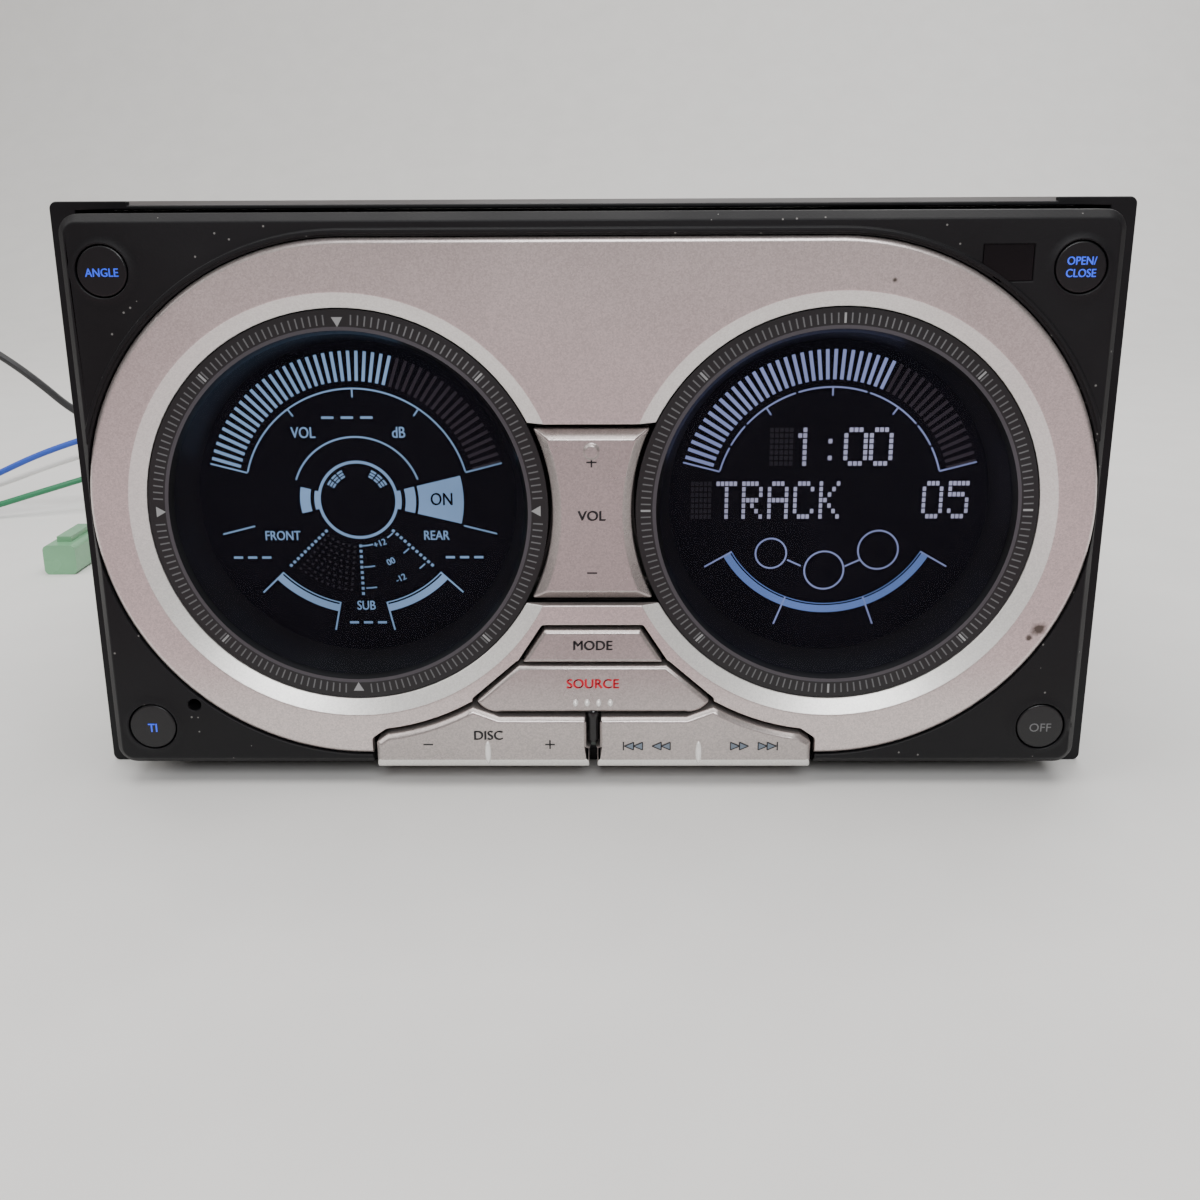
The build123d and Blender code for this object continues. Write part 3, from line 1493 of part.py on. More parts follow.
# Plug of the wiring loom, seated in its socket
plug_front = rear_y + connector_proud - plug_seat
plug_end = plug_front + plug_length
with BuildPart() as harness_plug:
    with BuildSketch(front(plug_front)):
        with Locations((connector_x, connector_z)):
            Rectangle(
                connector_width - 2 * connector_wall - 2 * part_gap,
                connector_height - 2 * connector_wall - 2 * part_gap,
            )
    extrude(amount=-plug_length)
    with BuildSketch(Plane.XY.offset(connector_z + connector_height / 2 - connector_wall - part_gap)):
        with Locations((connector_x, plug_end - latch_inset)):
            Rectangle(latch_width, latch_width)
    extrude(amount=latch_rise)
harness_plug.part.label = "harness_plug"
export_step(harness_plug.part, "parts/harness_plug.step")

# Loose leads of the loom: each leaves the plug, bends to the left and comes down to the floor
lead_routes = {
    "blue_lead": (signal_radius, [
        (-50, plug_end, 29), (-50, 110, 29), (-62, 121, 31), (-88, 127, 33), (-122, 125, 32),
        (-155, 117, 28), (-184, 108, 21), (-208, 102, 10), (-226, 99, 2.2), (-242, 99, 2.2),
    ]),
    "white_lead": (signal_radius, [
        (-56, plug_end, 21), (-56, 113, 21), (-69, 125, 22), (-95, 132, 24), (-128, 131, 25),
        (-160, 125, 21), (-187, 117, 14), (-209, 113, 6), (-226, 111, 2.2), (-242, 111, 2.2),
    ]),
    "green_lead": (signal_radius, [
        (-62, plug_end, 29), (-62, 109, 29), (-73, 119, 28), (-97, 124, 25), (-128, 119, 21),
        (-158, 109, 15), (-185, 99, 8), (-206, 92, 2.2), (-222, 90, 2.2),
    ]),
    "yellow_lead": (power_radius, [
        (-68, plug_end, 21), (-68, 110, 21), (-79, 120, 19), (-104, 121, 14), (-130, 109, 8),
        (-146, 88, 4.2), (-150, 68, 4.2), (-150, 54, 4.2),
    ]),
    "black_lead": (power_radius, [
        (-47, plug_end, 22), (-47, 114, 22), (-60, 131, 21), (-88, 140, 19), (-122, 140, 17),
        (-155, 135, 16), (-181, 128, 26), (-198, 123, 45), (-216, 120, 58), (-237, 118, 54),
        (-252, 117, 36), (-262, 116, 17), (-275, 115, 2.2), (-290, 114, 2.2),
    ]),
}
for name, (radius, route) in lead_routes.items():
    corners = [Vector(*point) for point in route]
    runs = [after - before for before, after in zip(corners, corners[1:])]
    radii = [
        0.45 * min(a.length, b.length) / tan(radians(a.get_angle(b)) / 2)
        for a, b in zip(runs, runs[1:])
    ]
    with BuildPart() as lead:
        with BuildLine() as path:
            FilletPolyline(*corners, radius=radii)
        with BuildSketch(Plane(corners[0], z_dir=runs[0])):
            Circle(radius)
        sweep()
    length = sum(edge.length for edge in path.edges())
    print(name, "length", round(length, 1), "radii", [round(r, 1) for r in radii])
    print(name, "volume over section times length", round(lead.part.volume / (pi * radius**2 * length), 4))
    lead.part.label = name
    export_step(lead.part, "parts/" + name + ".step")

# Bullet terminals on the signal leads and the black one
with BuildPart() as lead_terminals:
    for name in ("blue_lead", "white_lead", "green_lead", "black_lead"):
        route = lead_routes[name][1]
        end = Vector(*route[-1])
        direction = end - Vector(*route[-2])
        with BuildSketch(Plane(end, z_dir=direction)):
            Circle(terminal_radius)
        extrude(amount=terminal_sleeve)
        with BuildSketch(Plane(end, z_dir=direction)):
            Circle(terminal_tip_radius)
        extrude(amount=terminal_length)
lead_terminals.part.label = "lead_terminals"
export_step(lead_terminals.part, "parts/lead_terminals.step")

# Holder of the in-line fuse at the end of the yellow lead
fuse_end = lead_routes["yellow_lead"][1][-1]
with BuildPart() as inline_fuse:
    with BuildSketch(front(fuse_end[1])):
        with Locations((fuse_end[0], fuse_height / 2)):
            RectangleRounded(fuse_width, fuse_height, fuse_corner)
    extrude(amount=fuse_length)
    with BuildSketch(Plane.XY.offset(fuse_height)):
        with Locations((fuse_end[0], fuse_end[1] - fuse_length / 2)):
            Rectangle(fuse_cap_width, fuse_cap_length)
    extrude(amount=fuse_cap_rise)
inline_fuse.part.label = "inline_fuse"
export_step(inline_fuse.part, "parts/inline_fuse.step")
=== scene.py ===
from math import atan2, cos, degrees, hypot, pi, radians, sin

import bpy
from mathutils import Euler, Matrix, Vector


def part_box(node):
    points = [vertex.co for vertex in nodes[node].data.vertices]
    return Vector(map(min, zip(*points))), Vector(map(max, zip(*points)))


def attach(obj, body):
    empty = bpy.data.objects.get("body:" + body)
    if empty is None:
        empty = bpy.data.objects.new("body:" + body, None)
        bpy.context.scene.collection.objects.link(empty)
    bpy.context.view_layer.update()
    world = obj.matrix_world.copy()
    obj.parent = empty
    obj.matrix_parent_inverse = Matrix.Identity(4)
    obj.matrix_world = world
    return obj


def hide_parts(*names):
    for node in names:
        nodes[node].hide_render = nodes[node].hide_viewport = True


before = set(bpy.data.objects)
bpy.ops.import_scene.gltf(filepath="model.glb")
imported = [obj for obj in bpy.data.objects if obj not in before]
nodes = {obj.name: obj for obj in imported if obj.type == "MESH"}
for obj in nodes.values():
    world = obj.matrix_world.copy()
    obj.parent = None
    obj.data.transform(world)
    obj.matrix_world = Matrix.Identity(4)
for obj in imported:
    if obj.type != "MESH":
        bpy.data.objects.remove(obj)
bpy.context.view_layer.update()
mm = 0.001

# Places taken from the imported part
face_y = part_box("silver_fascia")[0].y
ring_low, ring_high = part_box("left_dial_ring")
left_dial = Vector(((ring_low.x + ring_high.x) / 2, 0, (ring_low.z + ring_high.z) / 2))
right_dial = Vector((-left_dial.x, 0, left_dial.z))
band_y = ring_low.y
display_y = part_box("left_display")[0].y
key_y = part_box("mode_button")[0].y
rocker_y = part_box("disc_rocker")[0].y
button_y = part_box("angle_button")[0].y
plug_end_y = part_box("harness_plug")[1].y

# Depths of printed marks, and the share of a letter's size that its capitals fill
ink_lift = 0.03 * mm
ink_thick = 0.02 * mm
glow_lift = 0.1 * mm
cap_share = 0.73


# Small steps that many pieces share


def open_edit():
    """Enters edit mode and keeps the selection."""
    bpy.ops.object.mode_set(mode="EDIT")


def edit_all():
    """Enters edit mode with the whole mesh selected."""
    open_edit()
    bpy.ops.mesh.select_all(action="SELECT")


def close_edit():
    """Leaves edit mode."""
    bpy.ops.object.mode_set(mode="OBJECT")


def pick(piece):
    """Selects one piece and makes it active."""
    bpy.ops.object.select_all(action="DESELECT")
    piece.select_set(True)
    bpy.context.view_layer.objects.active = piece


def settle(piece):
    """Puts a piece's place, turn and size into its mesh."""
    pick(piece)
    bpy.ops.object.transform_apply(location=True, rotation=True, scale=True)
    return piece


def join(pieces, name):
    """Joins pieces into one mesh."""
    pick(pieces[0])
    for piece in pieces:
        piece.select_set(True)
    if len(pieces) > 1:
        bpy.ops.object.join()
    joined = bpy.context.object
    joined.name = name
    joined.data.name = name
    return settle(joined)


def merge_close_points():
    """Merges the selected points that lie on each other."""
    bpy.ops.mesh.remove_doubles(threshold=0.001 * mm)


def smooth(angle=40):
    """Smooths the active piece, but not edges steeper than an angle."""
    bpy.ops.object.shade_smooth_by_angle(angle=radians(angle))


def thicken(piece, thickness, offset=-1):
    """Gives the active open or flat piece its wall."""
    wall = piece.modifiers.new("wall", "SOLIDIFY")
    wall.thickness = thickness
    wall.offset = offset
    bpy.ops.object.modifier_apply(modifier=wall.name)


def add_box(middle, size):
    """Box from its middle and its size."""
    bpy.ops.mesh.primitive_cube_add(size=1, location=middle)
    box = bpy.context.object
    box.scale = size
    return settle(box)


def mount(piece, body, material):
    """Gives a finished piece its material and the body that carries it."""
    piece.data.materials.clear()
    piece.data.materials.append(material)
    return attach(piece, body)


# Shader groups
middle_grey = (0.5, 0.5, 0.5, 1)
socket_kinds = {1: "NodeSocketFloat", 3: "NodeSocketVector", 4: "NodeSocketColor"}


def set_values(node, values):
    """Sets a node's inputs, given by their names or numbers."""
    for socket, value in values.items():
        node.inputs[socket].default_value = value


def add_node(tree, kind, operation=None, values=None):
    """Shader node with its operation and input values."""
    node = tree.nodes.new("ShaderNode" + kind)
    if operation:
        node.operation = operation
    set_values(node, values or {})
    return node


def wire(tree, *links):
    """Makes links, each given as a node, its output, another node and its input."""
    for source, output, target, socket in links:
        tree.links.new(source.outputs[output], target.inputs[socket])


def new_group(name, inputs, outputs):
    """Empty shader group; inputs gives each socket its value and outputs lists names."""
    group = bpy.data.node_groups.new(name, "ShaderNodeTree")
    for label, value in inputs.items():
        kind = socket_kinds[len(value) if isinstance(value, tuple) else 1]
        socket = group.interface.new_socket(label, in_out="INPUT", socket_type=kind)
        socket.default_value = value
    for label in outputs:
        kind = "NodeSocketColor" if label == "Colour" else "NodeSocketFloat"
        group.interface.new_socket(label, in_out="OUTPUT", socket_type=kind)
    start = group.nodes.new("NodeGroupInput")
    end = group.nodes.new("NodeGroupOutput")
    return group, start, end, add_node(group, "TexCoord")


def scale_look(group, start, end, factor):
    """Multiplies a group's colour, and its roughness if it has one, by a node's result."""
    tint = add_node(group, "VectorMath", "SCALE")
    wire(group, (start, "Colour", tint, 0), (factor, 0, tint, "Scale"), (tint, "Vector", end, "Colour"))
    if "Roughness" in start.outputs:
        gloss = add_node(group, "Math", "MULTIPLY")
        wire(group, (start, "Roughness", gloss, 0), (factor, 0, gloss, 1), (gloss, 0, end, "Roughness"))


def make_grain_group():
    """Fine moulded grain with slow drift in brightness and gloss."""
    group, start, end, place = new_group(
        "moulded grain",
        {"Colour": middle_grey, "Grain scale": 2500, "Drift": 0.15, "Roughness": 0.5},
        ("Colour", "Roughness", "Height"),
    )
    grain = add_node(group, "TexNoise", values={"Detail": 2})
    slow = add_node(group, "TexNoise", values={"Scale": 45, "Detail": 4})
    spread = {"From Min": 0.3, "From Max": 0.7, "To Min": -0.5, "To Max": 0.5}
    shade = add_node(group, "MapRange", values=spread)
    amount = add_node(group, "Math", "MULTIPLY")
    bright = add_node(group, "Math", "ADD", {1: 1.0})
    wire(
        group,
        (place, "Object", grain, "Vector"),
        (place, "Object", slow, "Vector"),
        (start, "Grain scale", grain, "Scale"),
        (slow, "Fac", shade, "Value"),
        (shade, "Result", amount, 0),
        (start, "Drift", amount, 1),
        (amount, 0, bright, 0),
        (grain, "Fac", end, "Height"),
    )
    scale_look(group, start, end, bright)
    return group


def make_flake_group():
    """Metal flakes of a sprayed paint: tiny cells that differ a little in brightness."""
    group, start, end, place = new_group(
        "paint flakes",
        {"Colour": middle_grey, "Flake scale": 5000, "Contrast": 0.1},
        ("Colour", "Height"),
    )
    cells = add_node(group, "TexVoronoi")
    shares = add_node(group, "SeparateColor")
    spread = add_node(group, "Math", "SUBTRACT", {1: 0.5})
    amount = add_node(group, "Math", "MULTIPLY_ADD", {2: 1.0})
    wire(
        group,
        (place, "Object", cells, "Vector"),
        (start, "Flake scale", cells, "Scale"),
        (cells, "Color", shares, "Color"),
        (shares, "Red", spread, 0),
        (spread, 0, amount, 0),
        (start, "Contrast", amount, 1),
        (shares, "Green", end, "Height"),
    )
    scale_look(group, start, end, amount)
    return group


def make_brush_group():
    """Fine rolling lines of sheet metal along one direction, with dull patches."""
    group, start, end, place = new_group(
        "rolled lines",
        {"Colour": middle_grey, "Stretch": (40, 1500, 1500), "Contrast": 0.2, "Roughness": 0.35},
        ("Colour", "Roughness", "Height"),
    )
    along = add_node(group, "VectorMath", "MULTIPLY")
    lines = add_node(group, "TexNoise", values={"Scale": 1, "Detail": 3})
    patches = add_node(group, "TexNoise", values={"Scale": 30, "Detail": 5})
    both = add_node(group, "Math", "ADD")
    spread = add_node(group, "Math", "SUBTRACT", {1: 1.0})
    amount = add_node(group, "Math", "MULTIPLY_ADD", {2: 1.0})
    wire(
        group,
        (place, "Object", along, 0),
        (start, "Stretch", along, 1),
        (along, "Vector", lines, "Vector"),
        (place, "Object", patches, "Vector"),
        (lines, "Fac", both, 0),
        (patches, "Fac", both, 1),
        (both, 0, spread, 0),
        (spread, 0, amount, 0),
        (start, "Contrast", amount, 1),
        (lines, "Fac", end, "Height"),
    )
    scale_look(group, start, end, amount)
    return group


def make_speck_group():
    """Sparse pale dust specks, as they settle on black plastic."""
    group, start, end, place = new_group("dust specks", {"Scale": 900, "Share": 0.06}, ("Mask",))
    cells = add_node(group, "TexVoronoi")
    shares = add_node(group, "SeparateColor")
    size = add_node(group, "Math", "LESS_THAN", {1: 0.16})
    share = add_node(group, "Math", "LESS_THAN")
    both = add_node(group, "Math", "MULTIPLY")
    wire(
        group,
        (place, "Object", cells, "Vector"),
        (start, "Scale", cells, "Scale"),
        (cells, "Distance", size, 0),
        (cells, "Color", shares, "Color"),
        (shares, "Red", share, 0),
        (start, "Share", share, 1),
        (size, 0, both, 0),
        (share, 0, both, 1),
        (both, 0, end, "Mask"),
    )
    return group


def make_rub_group():
    """Ragged rubbed patch round a point."""
    group, start, end, place = new_group(
        "rubbed patch", {"Centre": (0, 0, 0), "Radius": 0.004}, ("Mask",)
    )
    reach = add_node(group, "VectorMath", "DISTANCE")
    share = add_node(group, "Math", "DIVIDE")
    ragged = add_node(group, "TexNoise", values={"Scale": 900, "Detail": 5})
    both = add_node(group, "Math", "ADD")
    fall = {"From Min": 1.25, "From Max": 0.75, "To Min": 0.0, "To Max": 1.0}
    mask = add_node(group, "MapRange", values=fall)
    wire(
        group,
        (place, "Object", reach, 0),
        (start, "Centre", reach, 1),
        (reach, "Value", share, 0),
        (start, "Radius", share, 1),
        (place, "Object", ragged, "Vector"),
        (share, 0, both, 0),
        (ragged, "Fac", both, 1),
        (both, 0, mask, "Value"),
        (mask, "Result", end, "Mask"),
    )
    return group


grain_group = make_grain_group()
speck_group = make_speck_group()
rub_group = make_rub_group()
flake_group = make_flake_group()
brush_group = make_brush_group()

# Materials
dust_colour = (0.16, 0.155, 0.15)
rub_colour = (0.12, 0.105, 0.09)
flake_scale = 4500
flake_depth = 0.003 * mm
line_depth = 0.002 * mm


def new_material(name, values):
    """Material whose own shader sockets have the given values."""
    material = bpy.data.materials.new(name)
    material.use_nodes = True
    tree = material.node_tree
    shader = tree.nodes["Principled BSDF"]
    set_values(shader, values)
    return material, tree, shader


def add_group(tree, group, values):
    """One of the shader groups in a material, with its input values."""
    node = add_node(tree, "Group")
    node.node_tree = group
    set_values(node, values)
    return node


def feed_shader(tree, shader, tint, rough, relief, depth):
    """Feeds a colour output, a group's roughness and another's height into the shader."""
    bump = add_node(tree, "Bump", values={"Strength": 1, "Distance": depth})
    wire(
        tree,
        (*tint, shader, "Base Color"),
        (rough, "Roughness", shader, "Roughness"),
        (relief, "Height", bump, "Height"),
        (bump, "Normal", shader, "Normal"),
    )


def blend_colour(tree, mask, under, over):
    """Lays a flat colour over a colour output where a group's mask says so."""
    mix = add_node(tree, "Mix")
    mix.data_type = "RGBA"
    mix.inputs["B"].default_value = (*over, 1)
    wire(tree, (mask, "Mask", mix, "Factor"), (*under, mix, "A"))
    return mix, "Result"


def add_grain(tree, colour, scale, drift, roughness):
    """Grain group in a material."""
    look = {"Colour": (*colour, 1), "Grain scale": scale, "Drift": drift, "Roughness": roughness}
    return add_group(tree, grain_group, look)


def plastic(
    name, colour, roughness, grain=2500, depth=0.01 * mm, drift=0.2, metallic=0.0, coat=0.0,
    specks=0.0, shine=0.5,
):
    """Plastic, rubber or other moulded finish with its own grain."""
    material, tree, shader = new_material(
        name, {"Metallic": metallic, "Coat Weight": coat, "Specular IOR Level": shine}
    )
    group = add_grain(tree, colour, grain, drift, roughness)
    tint = (group, "Colour")
    if specks > 0:
        tint = blend_colour(tree, add_group(tree, speck_group, {"Share": specks}), tint, dust_colour)
    feed_shader(tree, shader, tint, group, group, depth)
    return material


def flake_paint(name, colour, roughness, contrast=0.25, metallic=0.75, rubs=()):
    """Silver paint with its metal flakes, and with rubbed patches given as centre and radius."""
    material, tree, shader = new_material(name, {"Metallic": metallic})
    drift = add_grain(tree, colour, 900, 0.08, roughness)
    flakes = add_group(tree, flake_group, {"Flake scale": flake_scale, "Contrast": contrast})
    wire(tree, (drift, "Colour", flakes, "Colour"))
    tint = (flakes, "Colour")
    for centre, radius in rubs:
        rub = add_group(tree, rub_group, {"Centre": centre, "Radius": radius})
        tint = blend_colour(tree, rub, tint, rub_colour)
    feed_shader(tree, shader, tint, drift, flakes, flake_depth)
    return material


def rolled_metal(name, colour, roughness, stretch=(40, 1500, 1500), contrast=0.25):
    """Sheet or turned metal with fine lines."""
    material, tree, shader = new_material(name, {"Metallic": 1.0})
    look = {"Colour": (*colour, 1), "Stretch": stretch, "Contrast": contrast, "Roughness": roughness}
    group = add_group(tree, brush_group, look)
    feed_shader(tree, shader, (group, "Colour"), group, group, line_depth)
    return material


def glowing_print(name, colour, strength):
    """Lit part of a display, a little uneven like phosphor."""
    material, tree, shader = new_material(
        name, {"Base Color": (0.02, 0.02, 0.03, 1), "Emission Strength": strength}
    )
    group = add_grain(tree, colour, 1800, 0.35, 0.4)
    wire(tree, (group, "Colour", shader, "Emission Color"), (group, "Roughness", shader, "Roughness"))
    return material


def clear_lens(name, tint):
    """Thin smoked window, dark enough to hide the unlit display."""
    material, tree, shader = new_material(
        name, {"Roughness": 0.09, "Alpha": 0.3, "Specular IOR Level": 0.10}
    )
    group = add_group(tree, grain_group, {"Colour": (*tint, 1), "Drift": 0.2})
    wire(tree, (group, "Colour", shader, "Base Color"))
    return material


def flat_ink(name, colour):
    """Matt printing ink."""
    return plastic(name, colour, 0.5, 3000, 0.002 * mm, 0.3)


def board_mask(name, colour):
    """Glossy solder mask of a circuit board."""
    return plastic(name, colour, 0.35, 1400, 0.02 * mm, 0.3, coat=0.3)


fascia_rubs = (
    ((0.0757, face_y, 0.0292), 0.0019),
    ((0.0742, face_y, 0.0275), 0.0009),
    ((0.0480, face_y, 0.0874), 0.0007),
)
silver_paint = flake_paint("silver paint", (0.65, 0.58, 0.56), 0.3, rubs=fascia_rubs)
key_paint = flake_paint("silver key paint", (0.47, 0.425, 0.41), 0.28)
# Pale paint: the dial rims' own pale finish; on the rocker lips the same paint is a painted reflection of
# the bright floor in front of the foot
rim_paint_and_painted_lip_reflection = flake_paint("pale rim paint and painted lip reflection", (0.82, 0.81, 0.78), 0.34, 0.15, metallic=0.5)
# Bumps and ribs on the keys: the key silver brightened all over as a painted highlight of the small domes
bump_silver_with_painted_highlight = flake_paint("key bumps with painted highlight", (0.88, 0.87, 0.85), 0.2, 0.08, metallic=0.35)
soft_black = (0.006, 0.006, 0.007)
panel_black = plastic(
    "black panel plastic", soft_black, 0.5, 1800, 0.03 * mm, 0.3, specks=0.05, shine=0.22
)
frame_black = plastic("black frame plastic", soft_black, 0.45, 2200, 0.02 * mm, 0.3, shine=0.22)
button_black = plastic("black button plastic", soft_black, 0.32, 3000, 0.006 * mm, shine=0.4)
band_black = plastic("dial band plastic", (0.012, 0.012, 0.013), 0.4, 2600, 0.006 * mm, shine=0.4)
band_edge_grey = plastic("dark grey band edge", (0.050, 0.046, 0.054), 0.4, 2500, 0.004 * mm)
tick_grey = flat_ink("grey tick ink", (0.105, 0.105, 0.11))
mark_grey = flat_ink("light grey mark ink", (0.26, 0.26, 0.265))
key_ink = flat_ink("dark grey key ink", (0.02, 0.02, 0.022))
icon_ink = flat_ink("blue-grey icon ink", (0.15, 0.19, 0.24))
off_ink = flat_ink("grey button ink", (0.13, 0.13, 0.135))
red_ink = plastic("red key ink", (0.72, 0.008, 0.03), 0.45, 3000, 0.002 * mm)
jack_red = plastic("red jack ring", (0.45, 0.02, 0.02), 0.4, 1500, drift=0.15)
pin_black = plastic("glossy black pin", (0.004, 0.004, 0.005), 0.15, 2500, 0.002 * mm, 0.1)
blue_glow = glowing_print("blue button legend", (0.03, 0.09, 0.85), 1.6)
left_glow = glowing_print("light blue display glow", (0.30, 0.50, 0.85), 1.35)
right_glow = glowing_print("lavender display glow", (0.34, 0.40, 0.80), 1.35)
arc_glow = glowing_print("blue arc glow", (0.16, 0.28, 0.72), 1.35)
dot_glow = glowing_print("white dot glow", (0.58, 0.58, 0.85), 1.35)
bar_dim = glowing_print("unlit display segments", (0.10, 0.07, 0.09), 0.3)
grid_dim = glowing_print("unlit dot grids", (0.016, 0.014, 0.019), 0.25)
display_ground = plastic(
    "dark display ground", (0.003, 0.003, 0.005), 0.8, 1500, 0.001 * mm, 0.4, shine=0.05
)
lens_clear = clear_lens("clear lens", (0.006, 0.006, 0.010))
window_dark = plastic(
    "dark remote window", (0.004, 0.003, 0.004), 0.16, 900, 0.001 * mm, shine=0.35
)
case_steel = rolled_metal("zinc-plated sheet", (0.50, 0.50, 0.49), 0.38)
deck_steel = rolled_metal("bright deck sheet", (0.56, 0.56, 0.56), 0.3, (1200, 60, 1200))
turned_steel = rolled_metal("turned steel", (0.60, 0.60, 0.61), 0.25, (2500, 300, 300))
screw_black = rolled_metal("blackened screws", (0.10, 0.10, 0.11), 0.35, (900, 900, 900))
nickel = rolled_metal("nickel plate", (0.62, 0.60, 0.56), 0.2, (700, 700, 700), 0.15)
tinned_brass = rolled_metal("tinned brass", (0.66, 0.60, 0.46), 0.28, (500, 500, 500), 0.2)
sink_aluminium = plastic(
    "sand-cast aluminium", (0.55, 0.55, 0.57), 0.5, 1500, 0.03 * mm, 0.15, metallic=1.0
)
board_green = board_mask("green solder mask", (0.02, 0.10, 0.045))
board_dark = board_mask("dark solder mask", (0.006, 0.016, 0.010))
socket_white = plastic("white socket plastic", (0.62, 0.60, 0.54), 0.4, 1500, drift=0.12)
acetal = plastic("cream acetal", (0.62, 0.59, 0.50), 0.45, 1200, 0.008 * mm, 0.12)
door_black = plastic("door plastic", (0.02, 0.02, 0.022), 0.4)
felt_black = plastic("felt strip", (0.015, 0.015, 0.016), 0.95, 4000, 0.12 * mm, 0.4)
rubber_black = plastic("soft rubber", (0.02, 0.02, 0.02), 0.75, 1800, 0.02 * mm, 0.25)
fuse_green = plastic("translucent green holder", (0.16, 0.36, 0.20), 0.25, 800, drift=0.3)

cad_finishes = (
    (case_steel, ("bottom_case", "top_cover")),
    (screw_black, ("cover_screws",)),
    (frame_black, ("front_frame", "slot_face")),
    (felt_black, ("slot_felts",)),
    (door_black, ("md_door", "cd_turntable", "md_spindle")),
    (board_green, ("main_board",)),
    (board_dark, ("panel_board",)),
    (sink_aluminium, ("heatsink",)),
    (socket_white, ("power_connector", "audio_jacks", "harness_plug")),
    (nickel, ("antenna_socket", "drive_motor", "md_motor", "disc_motor")),
    (acetal, ("arm_guides", "drive_gears", "motor_pinion", "cd_pickup", "clamp_puck")),
    (turned_steel, ("drive_shaft", "guide_rods", "lead_screw", "left_arm", "right_arm")),
    (deck_steel, ("md_deck_frame", "cd_deck_frame", "md_holder", "clamp_arm")),
    (rubber_black, ("deck_dampers", "feed_roller")),
    (silver_paint, ("silver_fascia",)),
    (panel_black, ("panel_bezel", "panel_back")),
    (band_black, ("left_dial_ring", "right_dial_ring")),
    (lens_clear, ("dial_lenses",)),
    (display_ground, ("left_display", "right_display")),
    (window_dark, ("ir_window",)),
    (button_black, ("angle_button", "open_button", "info_button", "off_button")),
    (key_paint, ("volume_rocker", "mode_button", "source_button", "disc_rocker", "track_rocker")),
    (tinned_brass, ("lead_terminals",)),
    (fuse_green, ("inline_fuse",)),
)
for material, names in cad_finishes:
    for name in names:
        nodes[name].data.materials.clear()
        nodes[name].data.materials.append(material)


# Camera


def add_camera():
    """Camera of the photograph, a little above the player and in front of its middle."""
    camera = bpy.data.cameras.new("camera")
    camera.lens = 35.97
    camera.sensor_width = 36.0
    camera.shift_y = -0.0658
    holder = bpy.data.objects.new("camera", camera)
    holder.location = (3.41 * mm, -285.47 * mm, 99.36 * mm)
    yaw = Euler((0, 0, radians(0.609))).to_matrix()
    pitch = Euler((radians(90 - 14.864), 0, 0)).to_matrix()
    roll = Euler((0, 0, radians(-0.281))).to_matrix()
    holder.rotation_euler = (yaw @ pitch @ roll).to_euler()
    bpy.context.scene.collection.objects.link(holder)
    bpy.context.scene.camera = holder


add_camera()

# Loose leads: radius in millimetres, length in metres, colour, roughness, drift, route in millimetres
signal_radius = 1.0
power_radius = 1.3
plug_y = plug_end_y / mm
leads = {
    "blue": (signal_radius, 0.217, (0.02, 0.07, 0.42), 0.32, 0.25, [
        (-50, plug_y, 29), (-50, 110, 29), (-62, 121, 31), (-88, 127, 33), (-122, 125, 32),
        (-155, 117, 28), (-184, 108, 21), (-208, 102, 10), (-226, 99, 2.2), (-242, 99, 2.2),
    ]),
    "white": (signal_radius, 0.211, (0.72, 0.71, 0.69), 0.32, 0.12, [
        (-56, plug_y, 21), (-56, 113, 21), (-69, 125, 22), (-95, 132, 24), (-128, 131, 25),
        (-160, 125, 21), (-187, 117, 14), (-209, 113, 6), (-226, 111, 2.2), (-242, 111, 2.2),
    ]),
    "green": (signal_radius, 0.183, (0.015, 0.17, 0.07), 0.32, 0.25, [
        (-62, plug_y, 29), (-62, 109, 29), (-73, 119, 28), (-97, 124, 25), (-128, 119, 21),
        (-158, 109, 15), (-185, 99, 8), (-206, 92, 2.2), (-222, 90, 2.2),
    ]),
    "yellow": (power_radius, 0.141, (0.72, 0.45, 0.02), 0.32, 0.2, [
        (-68, plug_y, 21), (-68, 110, 21), (-79, 120, 19), (-104, 121, 14), (-130, 109, 8),
        (-146, 88, 4.2), (-150, 68, 4.2), (-150, 54, 4.2),
    ]),
    "black": (power_radius, 0.308, (0.016, 0.016, 0.017), 0.35, 0.25, [
        (-47, plug_y, 22), (-47, 114, 22), (-60, 131, 21), (-88, 140, 19), (-122, 140, 17),
        (-155, 135, 16), (-181, 128, 26), (-198, 123, 45), (-216, 120, 58), (-237, 118, 54),
        (-252, 117, 36), (-262, 116, 17), (-275, 115, 2.2), (-290, 114, 2.2),
    ]),
}


def add_lead(colour, radius, length, tone, roughness, drift, route):
    """One lead as a smooth tube along its route."""
    node = colour + "_lead"
    curve = bpy.data.curves.new(node + "_vinyl", "CURVE")
    curve.dimensions = "3D"
    curve.bevel_depth = radius * mm
    curve.bevel_resolution = 5
    curve.resolution_u = 12
    curve.use_fill_caps = True
    spline = curve.splines.new("NURBS")
    spline.points.add(len(route) - 1)
    for point, place in zip(spline.points, route):
        point.co = (place[0] * mm, place[1] * mm, place[2] * mm, 1)
    spline.order_u = 3
    spline.use_endpoint_u = True
    lead = bpy.data.objects.new(node + "_vinyl", curve)
    bpy.context.scene.collection.objects.link(lead)
    curve.materials.append(plastic(colour + " vinyl", tone, roughness, 900, drift=drift))
    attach(lead, "chassis")
    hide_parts(node)


for colour, lead in leads.items():
    add_lead(colour, *lead)


# Moulded parts with soft edges
fascia_low, fascia_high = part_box("silver_fascia")
lobe_radius = (fascia_high.z - fascia_low.z) / 2
lobe_x = fascia_high.x - lobe_radius
lobe_z = (fascia_high.z + fascia_low.z) / 2
rim_radius = 36.2 * mm
lip_top = 5.5 * mm


